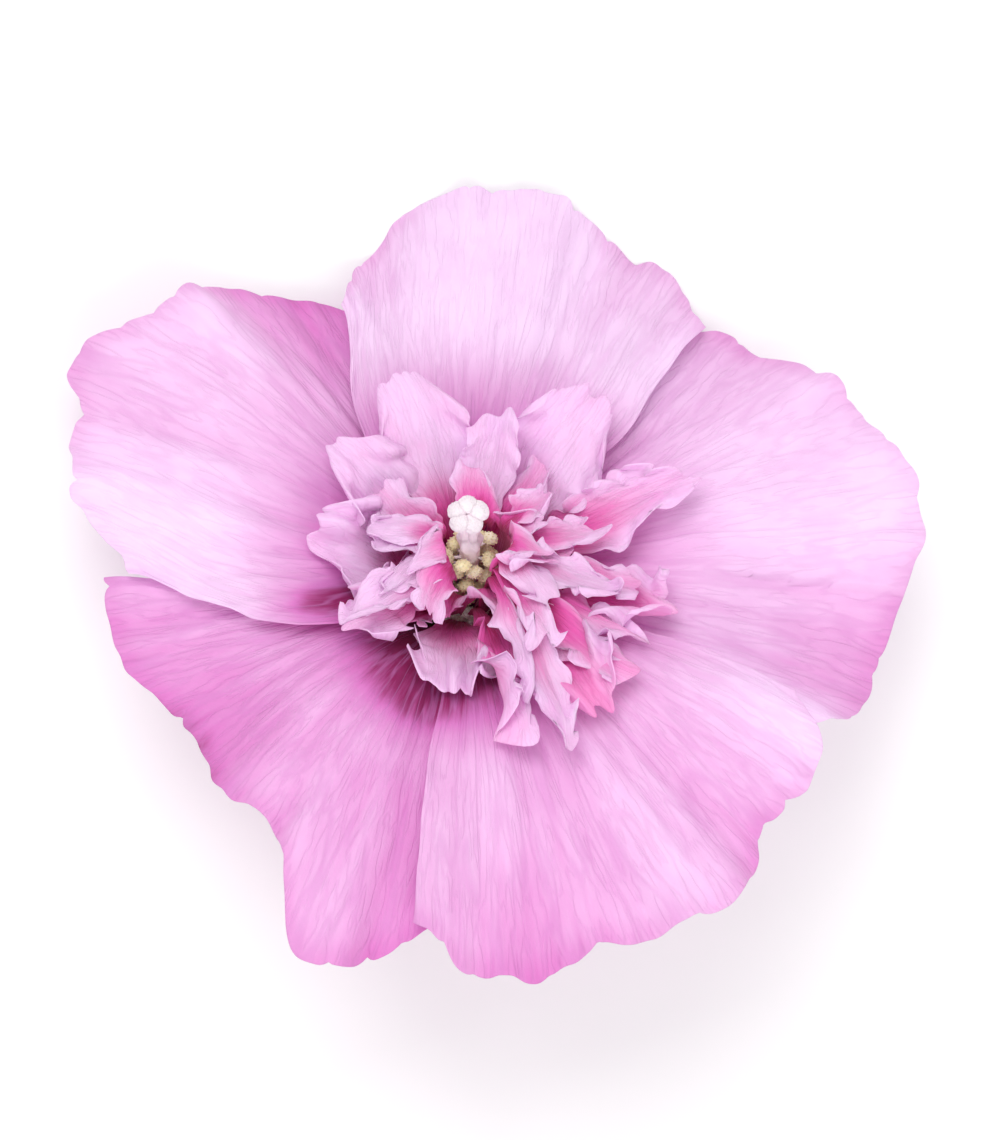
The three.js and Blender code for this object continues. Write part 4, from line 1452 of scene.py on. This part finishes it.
        # the width, with notches in the sides
        half = blade.width / 2 * (0.16 + 0.84 * smooth((t - 0.08) / 0.6))
        half = half * (1 - 0.25 * smooth((t - 0.55) / 0.45))
        half = half * (1 + 0.16 * noise(share * 5, side, blade.seed + 3) * np.abs(s))
        notch = self.lobes(share * length / 3.3, side, blade.seed + 8) * depth * small
        half = half + notch * s * s * smooth((share - 0.2) / 0.3)
        # the waves, then the frills and crumples
        wave = blade.ruffle * t * t * np.sin(3.4 * s + np.radians(blade.phase) + 2.2 * t)
        frill = 3.0 * blade.ruffle * s * s * noise(share * length / 2.4, side, blade.seed + 4)
        tip_frill = smooth((share - 0.5) / 0.5) * noise(s * blade.width / 4.2, share * 1.5, blade.seed + 7)
        frill = frill + 2.4 * blade.ruffle * tip_frill
        frill = frill + 1.5 * np.abs(s) * noise(share * length / 6.0 + 9, s * 1.2, blade.seed + 5)
        frill = frill + 0.55 * noise(s * half / 1.9, share * length / 4.5, blade.seed + 6)
        grown = smooth((share - 0.15) / 0.45) * small * wild
        points = (
            outward * place[..., :1]
            + UP * place[..., 1:]
            + across * (s * half)[..., None]
            + normal * (blade.cup * half * s * s + wave)[..., None]
        )
        points = self.bent_clear(points, drape, 0.9) + normal * (grown * frill)[..., None]
        return self.bent_clear(points, drape, 0.3)

    def tone(self, blade: Petaloid, s: Array, t: Array) -> Array:
        """How pale a petaloid is at each place, from 0 to 1.

        It grows paler outwards and towards its edges; its deep root is partly its own colour and
        partly painted shade between the blades. Each blade differs a little by a draw, and those on
        one side of the heart are deeper, as painted shade in the gaps between the blades there.

        Args:
            blade: The petaloid.
            s: Place across, from -1 to 1.
            t: Place along, from 0 at the root to 1 at the tip.

        Returns:
            The tone at each place.
        """
        # the side near 345 degrees is set deeper: painted shade in the gaps between its blades
        own = blade.paler + 0.3 * draw(blade.seed, 51) - 0.15 - 0.14 * bell(wrapped(blade.at - 345) / 60)
        edges = (0.42 * s * s - 0.12 + own) * smooth((t - 0.15) / 0.4)
        # deep towards the root: partly its own colour, partly painted shade between the blades
        return np.clip(0.02 + 0.86 * smooth((t - 0.24) / 0.7) + edges, 0, 1)

    def add_tube_wall(self, skin: Skin) -> None:
        """Adds the tube: a closed ring-shaped wall, up on its outside and down in its bore.

        Args:
            skin: Where it goes.
        """
        level = np.linspace(self.tube_foot, self.tube_height, 30)
        outer = self.tube_radius - 0.2 + 0.2 * smooth((level - 3) / 2) - 0.4 * smooth((level - 5) / 9)
        radius = np.concatenate([[self.tube_bore], outer, [self.tube_bore]])[:, None]
        height = np.concatenate([level[:1], level, level[-1:]])[:, None]
        skin.add_hoop(polar(turns(48), radius, height), 0.1 + 0.3 * smooth((height - 5) / 6))

    def build(self, groups: TissueGroups) -> None:
        """Builds the heart, each blade laid over those before it.

        Args:
            groups: The shared node groups.
        """
        skin = Skin("heart_petaloids")
        drape = Drape(self.funnel)
        for blade in self.blades():
            s, t = grid(*((38, 50) if blade.width > 7.2 else (18, 36)))
            half = self.half * (1.4 - 0.4 * smooth(t / 0.3)) * (1 - 0.5 * smooth((np.abs(s) - 0.6) / 0.4))
            middle = self.middle(blade, drape, s, t)
            drape.lay(middle)
            skin.add_blade(middle, half, self.tone(blade, s, t))
        self.add_tube_wall(skin)
        skin.make(self.finish.material(groups), Slot.PETALOID, "petaloid_heart")


# The column ---------------------------------------------------------------------------------------


@dataclass
class Column:
    """The style with its anthers on short filaments, which parts above them into five stigmas.

    Lengths are in mm. "Low" stands for the anthers on the tube's open side.

    Attributes:
        style_radius: Radius of the style.
        style_swell: Radius that it swells to.
        style_height: Height where it parts.
        neck: Length over which it closes there.
        foot: Height of its foot.
        tube_height: Height where the tube round it ends, and where its bend starts.
        bend: How far it bends aside at the stigmas.
        anther_count: Number of anthers above the tube.
        anther_from: Height of the lowest of them.
        anther_to: Height of the highest.
        anther_out: Least radius of their heads.
        low_count: Number of low anthers.
        low_from: Height of the lowest of them.
        low_at: Azimuth of their middle, in degrees.
        low_out: Least radius of their heads.
        anther_length: Half length of a head.
        anther_width: Half width of a head.
        grain_count: Pollen grains on each head.
        stigma_count: Number of stigmas.
        stigma_height: Greatest height of their heads.
        stigma_drop: How far below it they may stand.
        stigma_out: Radius that their places are drawn within.
        papilla_count: Papillae on each of them.
        finish: The column's finish.
    """

    style_radius: float = 1.3
    style_swell: float = 1.6
    style_height: float = 27.5
    neck: float = 2.5
    foot: float = -1.5
    tube_height: float = 11.0
    bend: tuple[float, float] = (-2.4, -0.2)
    anther_count: int = 30
    anther_from: float = 12.0
    anther_to: float = 23.0
    anther_out: float = 2.6
    low_count: int = 11
    low_from: float = 8.0
    low_at: float = 264.0
    low_out: float = 3.5
    anther_length: float = 1.12
    anther_width: float = 0.82
    grain_count: int = 46
    stigma_count: int = 5
    stigma_height: float = 34.6
    stigma_drop: float = 2.2
    stigma_out: float = 1.9
    papilla_count: int = 170
    finish: TissueFinish = TissueFinish(
        name="column_tissue",
        first=srgb(255, 238, 248),
        second=srgb(255, 244, 184),
        fleck=srgb(255, 246, 240),
        fleck_share=0.3,
        cell=5200.0,
        swell=1500.0,
        roughness=0.6,
        bump=0.7,
        soft=0.4,
    )

    def bent(self, points: Array) -> Array:
        """Points moved aside by the column's bend at their height, which starts above the tube."""
        share = np.maximum(0, points[..., 2:] - self.tube_height) / (self.stigma_height - self.tube_height)
        return points + np.array([*self.bend, 0.0]) * share**2

    def add_style(self, skin: Skin) -> None:
        """Adds the style: a rod that swells to where it parts, fluted there by its branches.

        Args:
            skin: Where it goes.
        """
        level = np.linspace(self.foot, self.style_height, 90)[:, None]
        shoulder = self.style_height - self.neck
        swell = smooth((level - self.anther_to) / (shoulder - self.anther_to))
        radius = self.style_radius + (self.style_swell - self.style_radius) * swell
        radius = radius * (1 - 0.3 * smooth((level - shoulder) / self.neck))
        a = turns(60)
        flute = 0.14 * swell * np.cos(np.radians(self.stigma_count * (a - 18)))
        ripple = 1 + flute + 0.04 * noise(a / 30, level * 0.8, 301)
        skin.add_shell(self.bent(polar(a, radius * ripple, level)), 0.0)

    def add_anthers(self, skin: Skin) -> None:
        """Adds the anthers above the tube, each a golden turn on, and those on the tube's open side.

        Args:
            skin: Where they go.
        """
        for i, level in enumerate(np.linspace(self.anther_from, self.anther_to, self.anther_count)):
            self.add_anther(skin, i, 137.5 * i, level, self.style_radius - 0.4, self.anther_out, 0.95)
        for i, level in enumerate(np.linspace(self.low_from, self.tube_height, self.low_count)):
            turn = self.low_at + 120 * ((0.618 * i) % 1 - 0.5)
            self.add_anther(skin, self.anther_count + i, turn, level, self.low_out - 1.4, self.low_out, 0.5)

    def add_anther(self, skin: Skin, i: int, turn: float, level: float, foot: float, out: float,
                   ripe: float) -> None:
        """Adds one anther, a grooved head under pollen grains, on a filament that bends up to it.

        Args:
            skin: Where it goes.
            i: Its number, for its repeatable draws.
            turn: Its azimuth, in degrees.
            level: Its height, in mm.
            foot: Radius where its filament starts, in mm.
            out: Least radius of its head, in mm.
            ripe: How yellow it is, from 0 to 1.
        """
        reach = out + 0.5 * draw(i, 11)
        ends = [polar(turn, foot, level - 0.9), polar(turn, reach, level - 0.5), polar(turn, reach, level)]
        skin.add_tube(self.bent(bezier(ends, np.linspace(0, 1, 8)[:, None])), 0.2, 8, 0.05)
        head = self.bent(ends[-1])
        pole = unit(polar(turn + 90 + 40 * draw(i, 12), 1.0, 0.8 * draw(i, 13) - 0.4))
        yellow = ripe * (0.6 + 0.35 * draw(i, 14))
        skin.add_blob(head, pole, self.anther_length, self.anther_width, 0.45, yellow, 14, 20)
        way = around(self.grain_count)
        shell = way * self.anther_width
        shell = shell + (way @ pole)[:, None] * pole * (self.anther_length - self.anther_width)
        spread = 0.12 * (draw(np.arange(self.grain_count), 61.0 + i) - 0.4)[:, None]
        skin.add_grains(head + shell * (1.0 + spread), 0.13, ripe)

    def add_stigmas(self, skin: Skin) -> None:
        """Adds the style's branches, and their round heads under short blunt papillae.

        Each head is drawn off its even place round the column.

        Args:
            skin: Where they go.
        """
        way = around(self.papilla_count)
        t = np.linspace(0, 1, 24)
        for i in range(self.stigma_count):
            turn = 360 / self.stigma_count * i + 18 + 22 * (draw(i, 15) - 0.5)
            out = self.stigma_out + 0.6 * (draw(i, 16) - 1.4)
            head = polar(turn, out, self.stigma_height - self.stigma_drop * draw(i, 17))
            root = polar(turn, 0.75, self.style_height - 3.0)
            low = polar(turn, 0.8, self.style_height + 1.5)
            path = bezier([root, low, head - polar(turn, 0.5, 3.0), head], t[:, None])
            skin.add_tube(self.bent(path), 0.62 - 0.1 * t + 0.2 * t**4, 16, 0.0)
            head = self.bent(head)
            skin.add_blob(head, polar(turn, 0.5, 1.0), 1.05, 1.2 + 0.3 * draw(i, 18), 0.0, 0.0, 18, 28)
            length = 0.3 + 0.16 * draw(np.arange(self.papilla_count), 31.0 + i)
            skin.add_hairs(head + way * 0.95, way, length, 0.09, 0.0)

    def build(self, groups: TissueGroups) -> None:
        """Builds the column.

        Args:
            groups: The shared node groups.
        """
        skin = Skin("column_detail")
        self.add_style(skin)
        self.add_anthers(skin)
        self.add_stigmas(skin)
        skin.make(self.finish.material(groups), Slot.COLUMN, "column")


# The green parts and the stem ---------------------------------------------------------------------


SEPAL_TISSUE = TissueFinish(
    name="sepal_tissue",
    first=srgb(132, 160, 70),
    second=srgb(166, 186, 104),
    fleck=srgb(196, 206, 150),
    fleck_share=0.4,
    cell=3000.0,
    swell=600.0,
    streaks=8.0,
    roughness=0.7,
    bump=0.6,
)


@dataclass
class Calyx:
    """The green bell of pointed lobes that holds the petals. Lengths are in mm.

    Attributes:
        funnel: The form of the petals that it follows.
        thickness: Its wall's thickness.
        gap: How far it stays off the petals' backs.
        floor_level: Height of its floor inside.
        floor: Radius of its floor.
        lobes: Number of its lobes.
        sinus: Radius of its rim between two lobes.
        tip: Radius of the lobes' tips.
        first: Azimuth of the first lobe, in degrees.
        sides: Points round its wall.
        rows: Rows of points up its wall.
    """

    funnel: Funnel = field(default_factory=Funnel)
    thickness: float = 0.8
    gap: float = 0.5
    floor_level: float = -1.8
    floor: float = 4.8
    lobes: int = 5
    sinus: float = 9.8
    tip: float = 17.8
    first: float = 47.0
    sides: int = 200
    rows: int = 44

    def height(self, radius: Array) -> Array:
        """Height of the middle surface, which follows the backs of the lowest petals."""
        below = self.funnel.stand_off(radius) + 0.35 + self.gap + self.thickness / 2
        return self.funnel.level(radius) - below * self.funnel.steepness(radius)

    def walls(self) -> tuple[Array, Array]:
        """The wall's two sides, from the floor's edge up to the lobes' rim.

        The rim's radius falls from each lobe's tip to the next sinus, and both sides stand half a
        thickness off the middle surface, square to it.

        Returns:
            The outer and the inner side, each [row, round, 3].
        """
        share = np.linspace(0, 1, self.rows + 1)[:, None]
        degrees = turns(self.sides)[None, :]
        turn = wrapped(self.lobes * (degrees - self.first))
        from_tip = np.abs(turn) / 180
        lobe = 1 - 0.5 * (smooth(from_tip) + from_tip)
        reach = self.sinus + (self.tip - self.sinus) * lobe**1.1
        radius = self.floor + (reach - self.floor) * share**1.2
        half = self.thickness / 2 * (1 - 0.5 * share**3)
        rib = 0.16 * bell(turn / 24) * smooth(share / 0.3)
        steep = self.funnel.steepness(radius)
        out, rise = half * np.sqrt(steep**2 - 1) / steep, half / steep
        height = self.height(radius)
        outer = polar(degrees, radius + out + rib, height - rise - rib)
        inner = polar(degrees, radius - out, height + rise)
        foot = smooth(share / 0.12)
        for wall, floor in ((outer, self.floor_level - self.thickness), (inner, self.floor_level)):
            wall[..., 2] = wall[..., 2] * foot + floor * (1 - foot)
        return outer, inner

    def build(self, finish: bpy.types.Material) -> None:
        """Builds the calyx: floor, outer wall, rim, inner wall and inner floor, under fine hairs.

        Args:
            finish: Its material.
        """
        outer, inner = self.walls()
        rim = (outer[-1] + inner[-1]) / 2 + unit(outer[-1] - outer[-2]) * 0.12
        share = np.linspace(0, 1, self.rows + 1)
        tone = np.concatenate([share, [1.0], share[::-1]])[:, None]
        skin = Skin("calyx_bell")
        skin.add_shell(np.concatenate([outer, rim[None], inner[::-1]]), tone)
        rows, cols = np.meshgrid(np.arange(2, self.rows), np.arange(self.sides), indexing="ij")
        pick = draw(rows * 977 + cols, 41.0) < 0.35
        rows, cols = rows[pick], cols[pick]
        skin.add_down(outer, rows, cols, 0.0, 0.25 + 0.3 * draw(rows * 13 + cols, 45.0))
        skin.make(finish, Slot.SEPAL, "calyx")


@dataclass
class Epicalyx:
    """The ring of slender bracts under the calyx. Lengths are in mm.

    Attributes:
        calyx: The bell that the bracts stand along.
        count: Number of bracts.
        width: Width of a bract.
        half: Half of its thickness.
        ring: Inner radius of the ring.
        reach: Radius of the bracts' tips.
        spread: How far their tips bend off the bell.
        profile: The ring's outline: how far off that radius, and height from its top.
    """

    calyx: Calyx = field(default_factory=Calyx)
    count: int = 8
    width: float = 1.7
    half: float = 0.4
    ring: float = 5.0
    reach: float = 14.4
    spread: float = 1.6
    profile: tuple[tuple[float, float], ...] = (
        (0, -1.8), (0.5, -1.8), (0.9, -1.7), (1.25, -1.1), (1.4, -0.6), (1.3, -0.25), (1, 0), (0.5, 0),
        (0, 0),
    )

    def add_ring(self, skin: Skin) -> None:
        """Adds the ring: a closed rounded wall round the receptacle, which swells under each bract.

        Args:
            skin: Where it goes.
        """
        top = self.calyx.floor_level - self.calyx.thickness - 0.3
        out, level = np.array(self.profile).T[..., None]
        a = turns(64)
        swell = 0.72 + 0.28 * np.cos(np.radians(self.count * (a - 7)))
        skin.add_hoop(polar(a, self.ring + out * swell, top + level), 0.2)

    def add_bract(self, skin: Skin, i: int) -> None:
        """Adds a bract, which stands along the bell and bends off it at its tip, under fine hairs.

        Args:
            skin: Where it goes.
            i: Its number, for its repeatable draws.
        """
        degrees = 360 / self.count * (i + 0.3 * draw(i, 22))
        s, t = grid(10, 40)
        radius = self.ring + 0.6 + (self.reach - self.ring) * (0.88 + 0.12 * draw(i, 21)) * t
        below = (self.calyx.thickness + 0.9) / 2 + 0.4 + self.spread * t * t + 1.3 * (1 - t) ** 4
        foot = 1 + 2.0 * (1 - smooth(t / 0.25)) - 1.6 * (1 - smooth(t / 0.08))
        half = self.width / 2 * foot * (1 - 0.85 * smooth((t - 0.4) / 0.6))
        half = half * (1 + 0.06 * noise(t * 6, float(i), 71))
        curl = np.maximum(0, 1 - t / 0.13) ** 2
        height = self.calyx.height(radius) - below * self.calyx.funnel.steepness(radius) - 0.5 * curl
        middle = polar(degrees, radius - 1.5 * curl, height)
        middle = middle + polar(degrees + 90, 1.0, 0.0) * (s * half)[..., None]
        middle[..., 2] += 0.15 * s * s * smooth(t / 0.4)
        skin.add_blade(middle, self.half * (1 - 0.5 * s * s) * (1 - 0.5 * t), 0.2 + 0.7 * t)
        rows, cols = (x.ravel() for x in np.meshgrid(np.arange(1, 40), np.arange(0, 11, 2), indexing="ij"))
        skin.add_down(middle, rows, cols, 0.1, 0.3 + 0.3 * draw(rows * 17 + cols + i, 46.0))

    def build(self, finish: bpy.types.Material) -> None:
        """Builds the ring and its bracts.

        Args:
            finish: Their material.
        """
        skin = Skin("epicalyx_bracts")
        self.add_ring(skin)
        for i in range(self.count):
            self.add_bract(skin, i)
        skin.make(finish, Slot.SEPAL, "epicalyx")


@dataclass
class Stem:
    """The receptacle and the short stem, which bends down to the table and ends in its cut.

    Lengths are in mm.

    Attributes:
        pedicel: Radius of the stem under the flower.
        cut: Its radius at the cut.
        end: How far it ends from the foot of the bloom's axis, along the world's Y.
        drift: The same along X.
        top: Height of the receptacle's top on the bloom's axis.
        depth: Height of the receptacle.
        sink: How far the stem's soft bark is pressed flat on the table.
        cup: Radius of the receptacle and height from its top, from below.
        face: Share of the radius, height and tone of the cut face's rings: rind, wood and pith.
        finish: Finish of the bark.
        cut_finish: Finish of the cut face.
    """

    pedicel: float = 1.25
    cut: float = 1.45
    end: float = 39.0
    drift: float = -3.2
    top: float = -2.9
    depth: float = 3.4
    sink: float = 0.12
    cup: tuple[tuple[float, float], ...] = (
        (1.3, -3.4), (1.55, -3.3), (2.4, -2.4), (3.6, -1.2), (4.3, -0.5), (4.55, -0.1), (4.4, 0),
        (3, 0),
    )
    face: tuple[tuple[float, float, float], ...] = (
        (1.0, -0.05, 1.0), (0.93, 0.06, 0.9), (0.8, 0.1, 0.3), (0.6, 0.11, 0.1), (0.35, 0.12, 0.2),
        (0.22, 0.1, 0.9), (0.16, 0.02, 0.2), (0.08, 0.0, 0.0),
    )
    finish: TissueFinish = TissueFinish(
        name="young_bark",
        first=srgb(122, 136, 72),
        second=srgb(140, 116, 88),
        fleck=srgb(186, 170, 140),
        fleck_share=0.45,
        cell=2200.0,
        swell=420.0,
        streaks=2.0,
        roughness=0.75,
        bump=0.8,
        depth=0.0004,
    )
    cut_finish: TissueFinish = TissueFinish(
        name="cut_wood",
        first=srgb(236, 240, 214),
        second=srgb(196, 208, 150),
        fleck=srgb(246, 246, 232),
        fleck_share=0.4,
        cell=5200.0,
        swell=2600.0,
        roughness=0.6,
        bump=0.5,
        depth=0.0002,
    )

    def path(self, t: Array) -> Array:
        """Points of the stem's centre line in world mm.

        It is a smooth curve through six points, down along the bloom's axis and then out over the
        table, with both ends carried on straight.

        Args:
            t: Share of its length, from 0 to 1.

        Returns:
            The point at each t.
        """
        x, y, _ = SEAT
        top, foot = bloom_to_world(UP * np.array([[self.top - 0.6], [self.top - self.depth]])) / MM
        course = np.array([
            top,
            foot,
            [x, foot[1] + 4.2, foot[2] - 3.9],
            [x + 0.2 * self.drift, foot[1] + 12, 1.7],
            [x + 0.6 * self.drift, foot[1] + 25, 1.9],
            [x + self.drift, y + self.end, self.cut - self.sink],
        ])
        return spline(np.concatenate([[2 * top - foot], course, [2 * course[-1] - course[-2]]]), t)

    def build(self, groups: TissueGroups) -> None:
        """Builds the bark, with its joint and the receptacle, and the cut face.

        Args:
            groups: The shared node groups.
        """
        t = np.linspace(0, 1, 150)
        path = self.path(t)
        along, ring = frames(path, 32)
        joint = 0.35 * bell((t - 0.5) / 0.035)
        radius = self.pedicel + (self.cut - self.pedicel) * smooth((t - 0.3) / 0.4) + joint
        radius = radius * (1 + 0.03 * noise(t * 30, 0.0, 81))
        rings = path[:, None] + ring * radius[:, None, None]
        rings[..., 2] = np.maximum(rings[..., 2], 0.01)
        bark = Skin("stem_bark", in_bloom=False)
        bark.add_shell(rings, smooth((t - 0.35) / 0.4)[:, None])
        out, level = np.array(self.cup).T[..., None]
        bark.add_shell(bloom_to_world(polar(turns(48), out, self.top + level)) / MM, 0.0)
        bark.make(self.finish.material(groups), Slot.STEM, "stem")
        share, raised, tone = np.array(self.face).T[..., None]
        face = path[-1] + along[-1] * raised[..., None] + ring[-1] * (radius[-1] * share)[..., None]
        face[..., 2] = np.maximum(face[..., 2], 0.015)
        wood = Skin("stem_cut_face", in_bloom=False)
        wood.add_shell(face, tone)
        wood.make(self.cut_finish.material(groups), Slot.STEM)


# The studio ---------------------------------------------------------------------------------------


@dataclass(frozen=True)
class Lamp:
    """A square soft light: its name, its place and size in metres, and its power in watts."""

    name: str
    place: tuple[float, float, float]
    size: float
    power: float

    def build(self, target: Vector) -> None:
        """Hangs the light and turns it to the target.

        Args:
            target: What it points at, in metres.
        """
        light = bpy.data.lights.new(self.name, "AREA")
        light.shape, light.size, light.energy = "SQUARE", self.size, self.power
        lamp = linked(self.name, light)
        lamp.location = self.place
        lamp.rotation_euler = (target - Vector(self.place)).to_track_quat("-Z", "Y").to_euler()


@dataclass
class Studio:
    """The pale floor, the soft lights and the camera that looks into the bloom.

    Attributes:
        distance: How far the camera stands off, in metres.
        view_width: Width of its view at the bloom, in metres.
        sensor: Width of its sensor, in mm.
        target: What it looks at, in metres.
        towards: Direction from there to the camera, in the bloom's frame.
        floor_half: Half of the floor's width, in metres.
        floor_drop: How far the floor lies under the flower, in metres.
        sky: Strength of the even light of the room.
        lamps: The soft lights.
    """

    distance: float = 1.0
    view_width: float = 0.130
    sensor: float = 36.0
    target: tuple[float, float, float] = (-0.0005, -0.001, 0.026)
    towards: tuple[float, float, float] = (-0.10, -0.42, 0.90)
    floor_half: float = 4.0
    floor_drop: float = 0.0001
    sky: float = 0.7
    lamps: tuple[Lamp, ...] = (
        Lamp("key_light", (0.27, -0.58, 0.96), 0.6, 6.5),
        Lamp("fill_light", (-0.3, 0.6, 0.85), 0.9, 4.4),
    )

    def lay_floor(self) -> None:
        """Lays the floor, a wide pale plane a hair under the flower."""
        mesh = bpy.data.meshes.new("floor")
        far, low = self.floor_half, -self.floor_drop
        corners = [(-far, -far, low), (far, -far, low), (far, far, low), (-far, far, low)]
        mesh.from_pydata(corners, [], [[0, 1, 2, 3]])
        made, bench = new_material("pale_floor")
        inputs = {"Base Color": (0.94, 0.94, 0.94, 1.0), "Roughness": 0.9}
        solid = bench.node("ShaderNodeBsdfPrincipled", inputs)[0]
        bench.node("ShaderNodeOutputMaterial", {"Surface": solid})
        mesh.materials.append(made)
        linked("floor", mesh)

    def light_room(self) -> None:
        """Fills the room with even white light."""
        world = bpy.data.worlds.new("studio")
        world.use_nodes = True
        bench = Bench(world.node_tree)
        inputs = {"Color": (1.0, 1.0, 1.0, 1.0), "Strength": self.sky}
        bench.node("ShaderNodeOutputWorld", {"Surface": bench.node("ShaderNodeBackground", inputs)[0]})
        bpy.context.scene.world = world
        bpy.context.scene.view_settings.view_transform = "Standard"

    def set_camera(self) -> None:
        """Sets the camera up over the bloom, with the top petal up in the picture."""
        towards = bloom_direction(*self.towards)
        right = bloom_direction(0.0, 1.0, 0.0).cross(towards).normalized()
        turned = Matrix((right, towards.cross(right), towards)).transposed().to_4x4()
        lens = bpy.data.cameras.new("view")
        lens.sensor_fit, lens.sensor_width = "HORIZONTAL", self.sensor
        lens.lens = self.sensor * self.distance / self.view_width
        camera = linked("view", lens)
        camera.matrix_world = Matrix.Translation(Vector(self.target) + towards * self.distance) @ turned
        bpy.context.scene.camera = camera

    def build(self) -> None:
        """Builds the whole studio."""
        self.set_camera()
        self.lay_floor()
        self.light_room()
        for lamp in self.lamps:
            lamp.build(Vector(self.target))


def main() -> None:
    """Builds the flower and its studio."""
    logging.basicConfig(level=logging.INFO, format="%(name)s: %(message)s")
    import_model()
    Studio().build()
    groups = TissueGroups(vein_group(), grain_group())
    Corolla().build(groups)
    Heart().build(groups)
    Column().build(groups)
    sepal = SEPAL_TISSUE.material(groups)
    Calyx().build(sepal)
    Epicalyx().build(sepal)
    Stem().build(groups)


if __name__ == "__main__":
    main()
